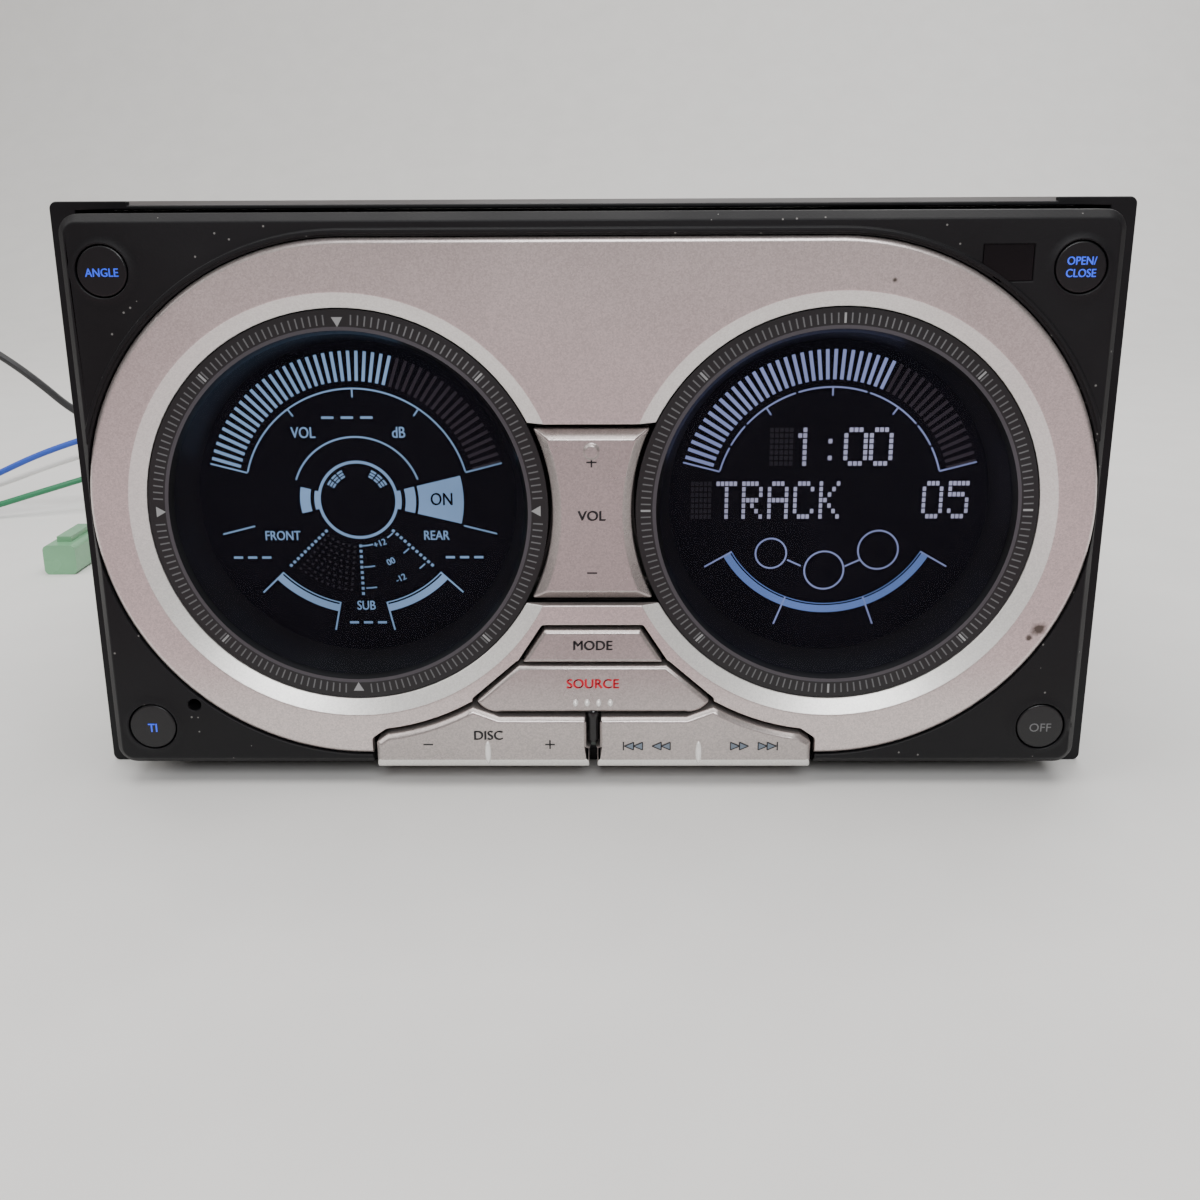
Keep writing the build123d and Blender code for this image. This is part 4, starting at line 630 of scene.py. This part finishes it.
def soft_copy(node, body, material, width, steepness=35, wide_edges=None, wide=0.0, cut=None):
    """Copy of a solid with its steep edges rounded; cut may carve it, and wide_edges picks broader ones."""
    copy = bpy.data.objects.new(node + "_soft", nodes[node].data.copy())
    bpy.context.scene.collection.objects.link(copy)
    copy.name = node + "_soft"
    pick(copy)
    edit_all()
    merge_close_points()
    bpy.ops.mesh.dissolve_limited(angle_limit=radians(0.5))
    bpy.ops.mesh.select_mode(type="EDGE")
    bpy.ops.mesh.select_all(action="DESELECT")
    close_edit()
    if cut:
        cut(copy)
    if wide_edges:
        points = copy.data.vertices
        for edge in copy.data.edges:
            edge.select = all(wide_edges(points[end].co) for end in edge.vertices)
        open_edit()
        bpy.ops.mesh.bevel(offset=wide * mm, segments=4, affect="EDGES", clamp_overlap=False)
        close_edit()
    rounding = copy.modifiers.new("soft edges", "BEVEL")
    rounding.width = width * mm
    rounding.segments = 3
    rounding.limit_method = "ANGLE"
    rounding.angle_limit = radians(steepness)
    rounding.use_clamp_overlap = False
    bpy.ops.object.modifier_apply(modifier=rounding.name)
    smooth(33)
    flat_faces = copy.modifiers.new("flat faces", "WEIGHTED_NORMAL")
    flat_faces.mode = "FACE_AREA"
    flat_faces.weight = 100
    flat_faces.keep_sharp = True
    bpy.ops.object.modifier_apply(modifier=flat_faces.name)
    mount(copy, body, material)
    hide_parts(node)
    return copy


def on_fascia_outline(point):
    """True for a point on the front of the fascia's outer outline."""
    nearest_x = max(-lobe_x, min(lobe_x, point.x))
    reach = hypot(point.x - nearest_x, point.z - lobe_z)
    return point.y < face_y + 0.01 * mm and reach > lobe_radius - 0.03 * mm


def on_dial_rim(face):
    """True for a face of the sloping rim round either dial."""
    dial = right_dial if face.center.x > 0 else left_dial
    reach = hypot(face.center.x - dial.x, face.center.z - dial.z)
    return reach < rim_radius and -0.985 < face.normal.y < -0.3


def on_rocker_lip(face):
    """True for the sloping lip along a rocker's foot."""
    return face.center.z < lip_top and -0.985 < face.normal.y < -0.5 and face.normal.z < 0


def cut_lip_and_slot(copy):
    """Sloping lip along a rocker's foot, and its half of the slot that holds the pin."""
    edit_all()
    bpy.ops.mesh.bisect(
        plane_co=(0, rocker_y, lip_top), plane_no=(0, -1.8, -0.7), use_fill=True, clear_outer=True
    )
    close_edit()
    cutter = add_box((0, rocker_y + 1.6 * mm, 13.1 * mm), (2.7 * mm, 5.2 * mm, 11.0 * mm))
    points = cutter.data.vertices
    for edge in cutter.data.edges:
        ends = [points[i].co for i in edge.vertices]
        edge.select = max(end.z for end in ends) < 0.01 and abs(ends[0].y - ends[1].y) > 0.001
    open_edit()
    bpy.ops.mesh.select_mode(type="EDGE")
    bpy.ops.mesh.bevel(offset=0.6 * mm, segments=1, affect="EDGES")
    close_edit()
    slot = copy.modifiers.new("pin slot", "BOOLEAN")
    slot.object = cutter
    pick(copy)
    bpy.ops.object.modifier_apply(modifier=slot.name)
    bpy.data.objects.remove(cutter)


def give_rim_paint_and_painted_lip_reflection(piece, chosen):
    """Second paint on the faces of a silver piece that a test picks; on the dial rims it is their own pale
    finish, on the rocker lips a painted reflection of the floor.
    """
    piece.data.materials.append(rim_paint_and_painted_lip_reflection)
    for face in piece.data.polygons:
        if chosen(face):
            face.material_index = 1


fascia = soft_copy("silver_fascia", "panel", silver_paint, 0.18, 22, on_fascia_outline, 1.1)
give_rim_paint_and_painted_lip_reflection(fascia, on_dial_rim)
soft_copy("panel_bezel", "panel", panel_black, 0.22)
soft_copy("front_frame", "chassis", frame_black, 0.25)
for node in ("mode_button", "source_button"):
    soft_copy(node, node, key_paint, 0.22)
soft_copy("volume_rocker", "volume_rocker", key_paint, 0.25)
for node in ("disc_rocker", "track_rocker"):
    rocker = soft_copy(node, node, key_paint, 0.25, cut=cut_lip_and_slot)
    # Pale paint on the rocker lip is a painted reflection of the floor in front of the foot
    give_rim_paint_and_painted_lip_reflection(rocker, on_rocker_lip)

# Windows, bumps, pin and rear trim
lens_low, lens_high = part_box("dial_lenses")
lens_radius = lens_high.x - right_dial.x
lens_thick = 1.0 * mm
lens_sag = (lens_high.y - lens_low.y) - lens_thick
lens_rings = 14


def add_lens(centre):
    """Crowned window over one dial: a disc inset ring by ring, then given its thickness."""
    bpy.ops.mesh.primitive_circle_add(
        vertices=128,
        radius=lens_radius,
        fill_type="NGON",
        location=(centre.x, lens_low.y + lens_sag, centre.z),
        rotation=(pi / 2, 0, 0),
    )
    lens = settle(bpy.context.object)
    step = lens_radius / (lens_rings + 0.5)
    edit_all()
    for ring in range(lens_rings):
        outer = lens_radius - ring * step
        inner = outer - step
        bpy.ops.mesh.inset(thickness=step, depth=lens_sag * (outer**2 - inner**2) / lens_radius**2)
    close_edit()
    thicken(lens, lens_thick)
    smooth()
    return lens


def add_dome(name, body, x, z, width, height, rise, front_y):
    """Low oval bump that stands on a key's front; sizes and places in millimetres."""
    bpy.ops.mesh.primitive_uv_sphere_add(
        segments=24, ring_count=12, radius=0.5, location=(x * mm, front_y, z * mm)
    )
    dome = bpy.context.object
    dome.scale = (width * mm, 2 * rise * mm, height * mm)
    settle(dome)
    edit_all()
    root = (x * mm, front_y + 0.05 * mm, z * mm)
    bpy.ops.mesh.bisect(plane_co=root, plane_no=(0, 1, 0), use_fill=True, clear_outer=True)
    close_edit()
    smooth()
    dome.name = name
    # The bump's brighter silver is a painted highlight
    mount(dome, body, bump_silver_with_painted_highlight)


def add_gap_pin():
    """Glossy pin in the slot between the two lower rockers, on a web that holds it."""
    parts = []
    for width, front, back, low, high in ((2.1, 0.6, 3.4, 8.2, 14.7), (0.8, 2.6, 8.0, 8.8, 14.2)):
        middle = Vector((0, rocker_y + (front + back) / 2 * mm, (low + high) / 2 * mm))
        parts.append(add_box(middle, (width * mm, (back - front) * mm, (high - low) * mm)))
        edit_all()
        bpy.ops.mesh.bevel(offset=0.45 * width * mm, segments=5, affect="EDGES")
        close_edit()
        smooth()
    mount(join(parts, "gap_pin"), "panel", pin_black)


def add_jack_sleeve(x, end_y, z):
    """Plated tube with a rolled mouth round one audio jack."""
    bpy.ops.mesh.primitive_cylinder_add(
        vertices=48,
        radius=4.4 * mm,
        depth=7.6 * mm,
        end_fill_type="NOTHING",
        location=(x, end_y - 3.6 * mm, z),
        rotation=(pi / 2, 0, 0),
    )
    sleeve = settle(bpy.context.object)
    thicken(sleeve, 0.45 * mm)
    mouth = sleeve.modifiers.new("rolled mouth", "BEVEL")
    mouth.width = 0.15 * mm
    mouth.segments = 3
    bpy.ops.object.modifier_apply(modifier=mouth.name)
    smooth()
    return sleeve


def add_jack_ring(x, end_y, z):
    """Coloured insulator round the hole of one audio jack."""
    bpy.ops.mesh.primitive_circle_add(
        vertices=48, radius=3.9 * mm, fill_type="NGON", location=(x, end_y, z), rotation=(-pi / 2, 0, 0)
    )
    ring = settle(bpy.context.object)
    edit_all()
    bpy.ops.mesh.inset(thickness=2.1 * mm, depth=0)
    bpy.ops.mesh.delete(type="FACE")
    close_edit()
    thicken(ring, 0.25 * mm, 1)
    return ring


def add_jack_trims():
    """Plated sleeves on the four audio jacks, with white rings on one side and red on the other."""
    low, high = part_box("audio_jacks")
    middle = (low + high) / 2
    step = (high.x - low.x) / 4
    sleeves = []
    for hand, plastic, name in ((1, socket_white, "white_jack_rings"), (-1, jack_red, "red_jack_rings")):
        rings = []
        for z in (middle.z - step, middle.z + step):
            sleeves.append(add_jack_sleeve(middle.x + hand * step, high.y, z))
            rings.append(add_jack_ring(middle.x + hand * step, high.y, z))
        mount(join(rings, name), "chassis", plastic)
    mount(join(sleeves, "jack_sleeves"), "chassis", nickel)


lens_glass = join([add_lens(left_dial), add_lens(right_dial)], "lens_glass")
mount(lens_glass, "panel", lens_clear)
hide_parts("dial_lenses")
for count, x in enumerate((-3, -1, 1, 3)):
    add_dome("source_bump_" + str(count), "source_button", x, 15.9, 1.0, 1.3, 0.8, key_y)
for node, hand in (("disc_rocker", -1), ("track_rocker", 1)):
    add_dome(node + "_rib", node, hand * 18.3, 6.9, 1.1, 4.2, 0.6, rocker_y)
add_gap_pin()
add_jack_trims()

# Printed and glowing marks; sizes, and places from a dial's centre, are in millimetres


def add_flat(x, y, z, width, height, turn):
    """Upright rectangle at a place in metres, turned in its own plane by degrees."""
    bpy.ops.mesh.primitive_plane_add(size=1, location=(x, y, z), rotation=(pi / 2, radians(turn), 0))
    flat = bpy.context.object
    flat.scale = (width * mm, height * mm, 1)
    return settle(flat)


def add_bar(centre, y, inner, outer, width, angle):
    """Flat bar along a radius of a dial, its angle counted from +X."""
    middle = (inner + outer) / 2 * mm
    x = centre.x + middle * cos(radians(angle))
    z = centre.z + middle * sin(radians(angle))
    return add_flat(x, y, z, width, outer - inner, 90 - angle)


def add_patch(centre, y, x, z, width, height, turn=0.0):
    """Flat rectangle at a place given from a dial's centre."""
    return add_flat(centre.x + x * mm, y, centre.z + z * mm, width, height, -turn)


def add_line(centre, y, start, end, width):
    """Thin line between two places given from a dial's centre."""
    run = Vector((end[0] - start[0], end[1] - start[1]))
    middle_x = (start[0] + end[0]) / 2
    middle_z = (start[1] + end[1]) / 2
    return add_patch(centre, y, middle_x, middle_z, run.length, width, degrees(atan2(run.y, run.x)))


def spin(centre, y, sweep, steps, copies=False):
    """Spins the selection round a dial's centre, as a band or as separate copies."""
    bpy.ops.mesh.spin(
        steps=steps, dupli=copies, angle=radians(sweep), center=(centre.x, y, centre.z), axis=(0, 1, 0)
    )


def add_arc(centre, y, inner, outer, start, end, step=3.0):
    """Flat band round a dial's centre, spun from one radial edge."""
    edge = add_bar(centre, y, inner, outer, 0.0, start)
    edit_all()
    merge_close_points()
    spin(centre, y, end - start, max(2, round(abs(end - start) / step)))
    if abs(end - start) >= 360:
        bpy.ops.mesh.select_all(action="SELECT")
        merge_close_points()
    close_edit()
    return edge


def add_bar_row(centre, y, inner, outer, width, first, last, count):
    """Row of radial bars, made once and spun round the dial's centre."""
    bar = add_bar(centre, y, inner, outer, width, first)
    edit_all()
    spin(centre, y, last - first, count - 1, copies=True)
    close_edit()
    return bar


def add_words(words, x, y, z, cap_height, narrow=1.0, turn=0.0, bold=0.0):
    """Lettering with its middle at x and z in metres; the cap height is in millimetres."""
    bpy.ops.object.text_add(location=(x, y, z), rotation=(pi / 2, radians(-turn), 0))
    label = bpy.context.object
    label.data.body = words
    label.data.size = cap_height * mm / cap_share
    label.data.align_x = "CENTER"
    label.data.align_y = "CENTER"
    label.data.extrude = ink_thick / 2
    label.data.resolution_u = 4
    label.scale = (narrow, 1, 1)
    pick(label)
    bpy.ops.object.convert(target="MESH")
    label = settle(bpy.context.object)
    if bold == 0:
        return label
    bpy.ops.object.duplicate_move(TRANSFORM_OT_translate={"value": (2 * bold * mm, 0, bold * mm)})
    strokes = join([bpy.context.object, label], "strokes")
    edit_all()
    bpy.ops.transform.translate(value=(-bold * mm, 0, 0))
    close_edit()
    return strokes


def place_mark(parts, name, body, material):
    """Joins flat parts, turns their faces to the driver and mounts them as one piece."""
    mark = join(parts, name)
    for polygon in mark.data.polygons:
        polygon.select = polygon.normal.y > 0
    open_edit()
    bpy.ops.mesh.flip_normals()
    close_edit()
    mount(mark, body, material)


# Tick marks of the two dial bands
tick_inner = 31.0
tick_outer = 32.65
tick_step = 2.0
tick_width = 0.24
mark_width = 0.36
triangle_gap = 4
edge_inner = 30.1
edge_outer = 30.7
tick_y = band_y - ink_lift
mark_y = tick_y - ink_lift
quarters = (0, 90, 180, 270)


def add_triangle(centre, angle):
    """Small triangle on the band that points to the display."""
    turn = radians(angle)
    radius = 31.7 * mm
    bpy.ops.mesh.primitive_circle_add(
        vertices=3,
        radius=1.05 * mm,
        fill_type="NGON",
        location=(centre.x + radius * cos(turn), mark_y, centre.z + radius * sin(turn)),
        rotation=(pi / 2, radians(-90 - angle), 0),
    )
    return settle(bpy.context.object)


def add_ticks(dial, first, last):
    """Even thin ticks between two angles."""
    count = int((last - first) / tick_step) + 1
    return add_bar_row(dial, tick_y, tick_inner, tick_outer, tick_width, first, last, count)


def add_broad_ticks(dial, angles):
    """Broader and brighter ticks at some angles."""
    return [add_bar(dial, mark_y, tick_inner, tick_outer, mark_width, angle) for angle in angles]


def place_band_marks(side, dial, ticks, marks):
    """Mounts one band's ticks and marks, with the grey line along its inner edge."""
    edge = [add_arc(dial, tick_y, edge_inner, edge_outer, 0, 360)]
    place_mark(ticks, side + "_dial_ticks", "panel", tick_grey)
    place_mark(marks, side + "_dial_marks", "panel", mark_grey)
    place_mark(edge, side + "_band_edge", "panel", band_edge_grey)


left_ticks = [add_ticks(left_dial, start + triangle_gap, start + 90 - triangle_gap) for start in quarters]
left_marks = [add_triangle(left_dial, angle) for angle in quarters]
left_marks += add_broad_ticks(left_dial, range(45, 360, 90))
place_band_marks("left", left_dial, left_ticks, left_marks)
right_ticks = [add_ticks(right_dial, 0, 360 - tick_step)]
right_marks = add_broad_ticks(right_dial, range(0, 360, 45))
place_band_marks("right", right_dial, right_ticks, right_marks)

# Display drawings
print_y = display_y - glow_lift
thin = 0.28
bar_in = 20.8
bar_out = 25.9
scale_radius = 19.5
left_bar = 0.55
right_bar = 0.6
dot_share = 0.78


def add_gauge(dial, bar_width, last, count, arcs):
    """Lit bars of a gauge over its scale line, with the line's ends and ticks."""
    parts = [add_bar_row(dial, print_y, bar_in, bar_out, bar_width, 163.2, last, count)]
    for start, end in arcs:
        parts.append(add_arc(dial, print_y, scale_radius - thin / 2, scale_radius + thin / 2, start, end))
    for angle in (165.5, 14.5):
        parts.append(add_bar(dial, print_y, scale_radius, 26.0, thin, angle))
    for angle in (125, 90, 55):
        parts.append(add_bar(dial, print_y, scale_radius - 1.5, scale_radius, thin, angle))
    return parts


def add_dashes(centre, x, z, gap, length):
    """Three dashes of an empty number."""
    return [add_patch(centre, print_y, x + step * gap, z, length, 0.42) for step in (-1, 0, 1)]


def add_dots(centre, angle, inner, outer, count):
    """Dotted line along a radius."""
    step = (outer - inner) / (count - 1)
    return [
        add_bar(centre, print_y, inner + i * step - 0.25, inner + i * step + 0.25, 0.5, angle)
        for i in range(count)
    ]


def add_left_display():
    """Volume gauge, balance rings and their lettering."""
    d, y = left_dial, print_y
    arcs = [(11.0, 11.3, 161, 19), (6.5, 7.0, 0, 360), (10.6, 18.4, -13.5, 13.5)]
    for middle in (0, 180):
        arcs.append((6.5, 7.6, middle - 13, middle + 13))
        arcs.append((8.3, 10.1, middle - 13.5, middle + 13.5))
    parts = add_gauge(d, left_bar, 75, 29, [(165, 15)])
    for hand in (1, -1):
        for row in range(3):
            radius = 4.7 + 0.52 * row
            for dash in range(3):
                middle = 90 + hand * (31 + 13 * dash)
                arcs.append((radius - 0.17, radius + 0.17, middle - 5, middle + 5))
        near, far = 270 + hand * 12.5, 270 + hand * 46.5
        arcs.append((19.6, 20.9, near, far))
        arcs.append((19.1, 19.3, near, far))
        parts += [add_bar(d, y, 19.1, 24.5, thin, angle) for angle in (near, far)]
        parts.append(add_bar(d, y, 18.9, 24.8, thin, 270 + hand * 75.7))
        parts += add_dots(d, far, 8.1, 17.2, 11)
    parts += add_dots(d, 270, 8.3, 17.1, 10)
    for radius in (8.3, 12.2, 16.1):
        arcs.append((radius - 0.12, radius + 0.12, 272, 272 + 110 / radius))
        arcs.append((radius - 0.12, radius + 0.12, 314 - 75 / radius, 314))
    parts += [add_arc(d, y, *arc) for arc in arcs]
    parts += add_dashes(d, -1.1, 14.5, 3.35, 2.1)
    for x, z in ((-19.2, -10.4), (18.2, -10.4), (0.6, -22.5)):
        parts += add_dashes(d, x, z, 2.5, 1.6)
    labels = (
        ("VOL", -8.8, 11.8, 2.0, 0.8, 0), ("dB", 7.6, 11.8, 2.0, 0.8, 0),
        ("FRONT", -13.6, -6.5, 1.75, 0.8, 0), ("REAR", 13.4, -6.5, 1.75, 0.8, 0),
        ("SUB", 0.4, -19.4, 1.75, 0.8, 0), ("+12", 3.4, -7.9, 1.2, 0.9, 20),
        ("00", 5.2, -11.2, 1.2, 0.9, 25), ("-12", 6.8, -14.3, 1.2, 0.9, 25),
    )
    words = [
        add_words(text, d.x + x * mm, y, d.z + z * mm, cap, narrow, turn, 0.03)
        for text, x, z, cap, narrow, turn in labels
    ]
    mount(join(words, "left_gauge_words"), "panel", left_glow)
    unlit = [add_bar_row(d, y, bar_in, bar_out, left_bar, 71.85, 15.2, 19)]
    grid = [add_bar_row(d, y, 8.3 + ring, 8.7 + ring, 0.4, 229, 263, 6 + ring // 2) for ring in range(9)]
    place_mark(parts, "left_gauge", "panel", left_glow)
    place_mark(unlit, "left_gauge_unlit", "panel", bar_dim)
    place_mark(grid, "left_dot_grid_unlit", "panel", grid_dim)
    sector = add_words("ON", d.x + 14.6 * mm, y - glow_lift, d.z, 2.3, 0.8, 0, 0.05)
    mount(join([sector], "left_sector_word"), "panel", display_ground)


# Rows of each dot-matrix letter, from the top
dot_letters = {
    "T": "#####/..#../..#../..#../..#../..#../..#..",
    "R": "####./#...#/#...#/####./#.#../#..#./#...#",
    "A": ".###./#...#/#...#/#####/#...#/#...#/#...#",
    "C": ".###./#...#/#..../#..../#..../#...#/.###.",
    "K": "#...#/#..#./#.#../##.../#.#../#..#./#...#",
    "0": ".###./#...#/#...#/#...#/#...#/#...#/.###.",
    "1": "..#../.##../..#../..#../..#../..#../..#..",
    "5": "#####/#..../####./....#/....#/#...#/.###.",
    ":": "...../...../..#../...../...../..#../.....",
    " ": ".....",
    "#": "/".join(7 * ["#####"]),
}


def add_dot_words(centre, words, x, z, pitch_x, pitch_z, cell):
    """Dot-matrix lettering; x is the first letter's middle and cell the step between letters."""
    dots = []
    for place, letter in enumerate(words):
        for row, line in enumerate(dot_letters[letter].split("/")):
            for column, mark in enumerate(line):
                if mark == "#":
                    dot_x = x + place * cell + (column - 2) * pitch_x
                    dot_z = z + (3 - row) * pitch_z
                    size = (dot_share * pitch_x, dot_share * pitch_z)
                    dots.append(add_patch(centre, print_y, dot_x, dot_z, *size))
    return dots


def add_right_display():
    """Level gauge, clock, track number and three linked circles."""
    d, y = right_dial, print_y
    arcs = (
        (165, 152.4), (150.9, 139), (137.5, 108.8), (107.3, 72.7), (71.2, 42.5), (41, 29.1), (27.6, 15),
    )
    parts = add_gauge(d, right_bar, 67, 31, arcs)
    for x, z, radius in ((-9.6, -9.8, 2.7), (-0.2, -12.9, 3.45), (9.1, -9.2, 3.5)):
        middle = d + Vector((x * mm, 0, z * mm))
        parts.append(add_arc(middle, y, radius - thin / 2, radius + thin / 2, 0, 360, 12))
    parts.append(add_line(d, y, (-6.7, -11.0), (-4.3, -12.1), thin))
    parts.append(add_line(d, y, (3.4, -12.2), (6.0, -11.0), thin))
    for angle in (210, 249, 291, 330):
        parts.append(add_bar(d, y, 19.0, 24.5, thin, angle))
    band = [add_arc(d, y, 19.4, 20.7, 210, 330), add_arc(d, y, 19.0, 19.15, 210, 330)]
    clock = add_dot_words(d, "1:00", -4.4, 9.2, 0.84, 0.98, 4.35)
    track = add_dot_words(d, "TRACK   05", -17.6, -0.2, 0.74, 0.98, 4.45)
    unlit = [add_bar_row(d, y, bar_in, bar_out, right_bar, 63.8, 15.2, 16)]
    grid = add_dot_words(d, "#", -8.4, 9.2, 0.84, 0.98, 4.35)
    grid += add_dot_words(d, "#", -22.0, -0.2, 0.74, 0.98, 4.45)
    marks = (
        (parts, "right_gauge", right_glow),
        (band, "right_lower_arc", arc_glow),
        (clock, "clock_dots", dot_glow),
        (track, "track_dots", dot_glow),
        (unlit, "right_gauge_unlit", bar_dim),
        (grid, "right_dot_grid_unlit", grid_dim),
    )
    for pieces, name, glow in marks:
        place_mark(pieces, name, "panel", glow)


add_left_display()
add_right_display()

# Lettering of the keys, at places from the middle of the base in millimetres
origin = Vector((0, 0, 0))
sign_length = 1.7
sign_width = 0.28
rocker_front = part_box("volume_rocker")[0].y + 0.5 * mm


def key_words(words, x, z, y):
    """Ink lettering on a key's front."""
    return add_words(words, x * mm, y - ink_lift, z * mm, 1.75, bold=0.08)


def add_signs(y, plus, minus):
    """Plus and minus signs of a rocker."""
    flat = (sign_length, sign_width)
    upright = (sign_width, sign_length)
    strokes = ((plus, flat), (plus, upright), (minus, flat))
    return [add_patch(origin, y - ink_lift, *place, *size) for place, size in strokes]


def add_key_legends():
    """Ink on the silver keys and glowing words on the round buttons."""
    volume = [key_words("VOL", 0, 49, rocker_front)]
    volume += add_signs(rocker_front, (0, 58.2), (0, 39.2))
    disc = [key_words("DISC", -18.2, 10.0, rocker_y)]
    disc += add_signs(rocker_y, (-7.5, 8.4), (-28.7, 8.4))
    legends = (
        (volume, "volume_legend", "volume_rocker", key_ink),
        ([key_words("MODE", 0, 26.3, key_y)], "mode_legend", "mode_button", key_ink),
        ([key_words("SOURCE", 0, 19.3, key_y)], "source_legend", "source_button", red_ink),
        (disc, "disc_legend", "disc_rocker", key_ink),
    )
    for parts, name, node, ink in legends:
        mount(join(parts, name), node, ink)
    buttons = (
        ("angle_button", blue_glow, 0.9, 0.03, (("ANGLE", -0.3, 1.35),)),
        ("info_button", blue_glow, 0.9, 0.03, (("TI", -0.3, 1.6),)),
        ("open_button", blue_glow, 0.9, 0.03, (("OPEN/", 0.9, 1.3), ("CLOSE", -1.0, 1.3))),
        ("off_button", off_ink, 1.0, 0.0, (("OFF", -0.3, 1.6),)),
    )
    for node, ink, narrow, bold, lines in buttons:
        low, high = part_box(node)
        middle = (low + high) / 2
        words = [
            add_words(text, middle.x, button_y - ink_lift, middle.z + rise * mm, cap, narrow, 0, bold)
            for text, rise, cap in lines
        ]
        mount(join(words, node + "_legend"), node, ink)


def add_arrow(x, z, hand, size):
    """Filled triangle of a skip icon and its outline; hand is 1 when it points right."""
    y = rocker_y - ink_lift
    tip = (x + hand * size * 0.55, z)
    high = (x - hand * size * 0.55, z + size / 2)
    low = (x - hand * size * 0.55, z - size / 2)
    bpy.ops.mesh.primitive_circle_add(
        vertices=3,
        radius=1,
        fill_type="NGON",
        location=((x - hand * size * 0.183) * mm, y, z * mm),
        rotation=(pi / 2, radians(90 * hand), 0),
    )
    patch = bpy.context.object
    patch.scale = (0.577 * size * mm, 0.733 * size * mm, 1)
    outline = [add_line(origin, y - ink_lift, a, b, 0.2) for a, b in ((high, tip), (tip, low), (low, high))]
    return settle(patch), outline


def add_skip_icons():
    """Skip and search icons of the right rocker."""
    patches = []
    lines = []
    for x, hand, stop in ((7.0, -1, True), (11.8, -1, False), (25.4, 1, False), (30.2, 1, True)):
        for step in (-0.78, 0.78):
            patch, outline = add_arrow(x + step, 8.1, hand, 1.45)
            patches.append(patch)
            lines += outline
        if stop:
            lines.append(add_patch(origin, rocker_y - 2 * ink_lift, x + hand * 1.75, 8.1, 0.25, 1.6))
    place_mark(patches, "skip_icon_patches", "track_rocker", icon_ink)
    place_mark(lines, "skip_icon_lines", "track_rocker", key_ink)


add_key_legends()
add_skip_icons()

# Floor and light
floor_finish = plastic("pale table top", (0.74, 0.735, 0.715), 0.6, 300, 0.02 * mm, 0.04)
card_finish = plastic("dark card", (0.42, 0.31, 0.33), 0.9, 300, 0.02 * mm, 0.1, shine=0.0)


def select_back_edges(piece, below):
    """Selects the edges behind the player whose ends all lie under a height."""
    points = piece.data.vertices
    for edge in piece.data.edges:
        ends = [points[i].co for i in edge.vertices]
        edge.select = min(end.y for end in ends) > 0 and max(end.z for end in ends) < below


def add_floor():
    """Plain pale table top that curves up behind the player."""
    bpy.ops.mesh.primitive_plane_add(size=4, location=(0, -0.9, 0))
    floor = bpy.context.object
    floor.name = "floor"
    open_edit()
    bpy.ops.mesh.select_mode(type="EDGE")
    bpy.ops.mesh.select_all(action="DESELECT")
    close_edit()
    select_back_edges(floor, 0.1)
    open_edit()
    bpy.ops.mesh.extrude_region_move(TRANSFORM_OT_translate={"value": (0, 0, 2.5)})
    bpy.ops.mesh.select_all(action="DESELECT")
    close_edit()
    select_back_edges(floor, 0.1)
    open_edit()
    bpy.ops.mesh.bevel(offset=0.6, segments=16, affect="EDGES")
    close_edit()
    smooth(60)
    settle(floor)
    floor.data.materials.append(floor_finish)


def add_dark_card():
    """Card that only reflections see, as the dark room beyond the table."""
    bpy.ops.mesh.primitive_plane_add(size=1, location=(0, -0.77, 0.003))
    card = bpy.context.object
    card.name = "dark_card"
    card.scale = (3.0, 1.28, 1)
    settle(card)
    card.data.materials.append(card_finish)
    card.visible_camera = False
    card.visible_diffuse = False
    card.visible_shadow = False


def add_light(name, place, target_z, size, power, colour):
    """Soft square light aimed at a height over the middle of the base."""
    light = bpy.data.lights.new(name, "AREA")
    light.size = size
    light.energy = power
    light.color = colour
    lamp = bpy.data.objects.new(name, light)
    lamp.location = place
    lamp.rotation_euler = (Vector((0, 0, target_z)) - Vector(place)).to_track_quat("-Z", "Y").to_euler()
    bpy.context.scene.collection.objects.link(lamp)


add_floor()
add_dark_card()
add_light("ceiling light", (0.0, -0.05, 1.1), 0.05, 1.1, 15, (1.0, 0.99, 0.98))
add_light("front light", (0.1, -0.95, 0.72), 0.07, 0.5, 7, (0.97, 0.98, 1.0))
add_light("window light", (-0.9, -0.3, 0.8), 0.05, 0.7, 4, (1.0, 0.98, 0.96))
add_light("rear light", (0.5, 0.9, 0.8), 0.05, 0.7, 4, (0.98, 0.99, 1.0))
world = bpy.data.worlds.new("studio")
world.use_nodes = True
set_values(world.node_tree.nodes["Background"], {"Color": (0.80, 0.745, 0.73, 1), "Strength": 0.28})
bpy.context.scene.world = world
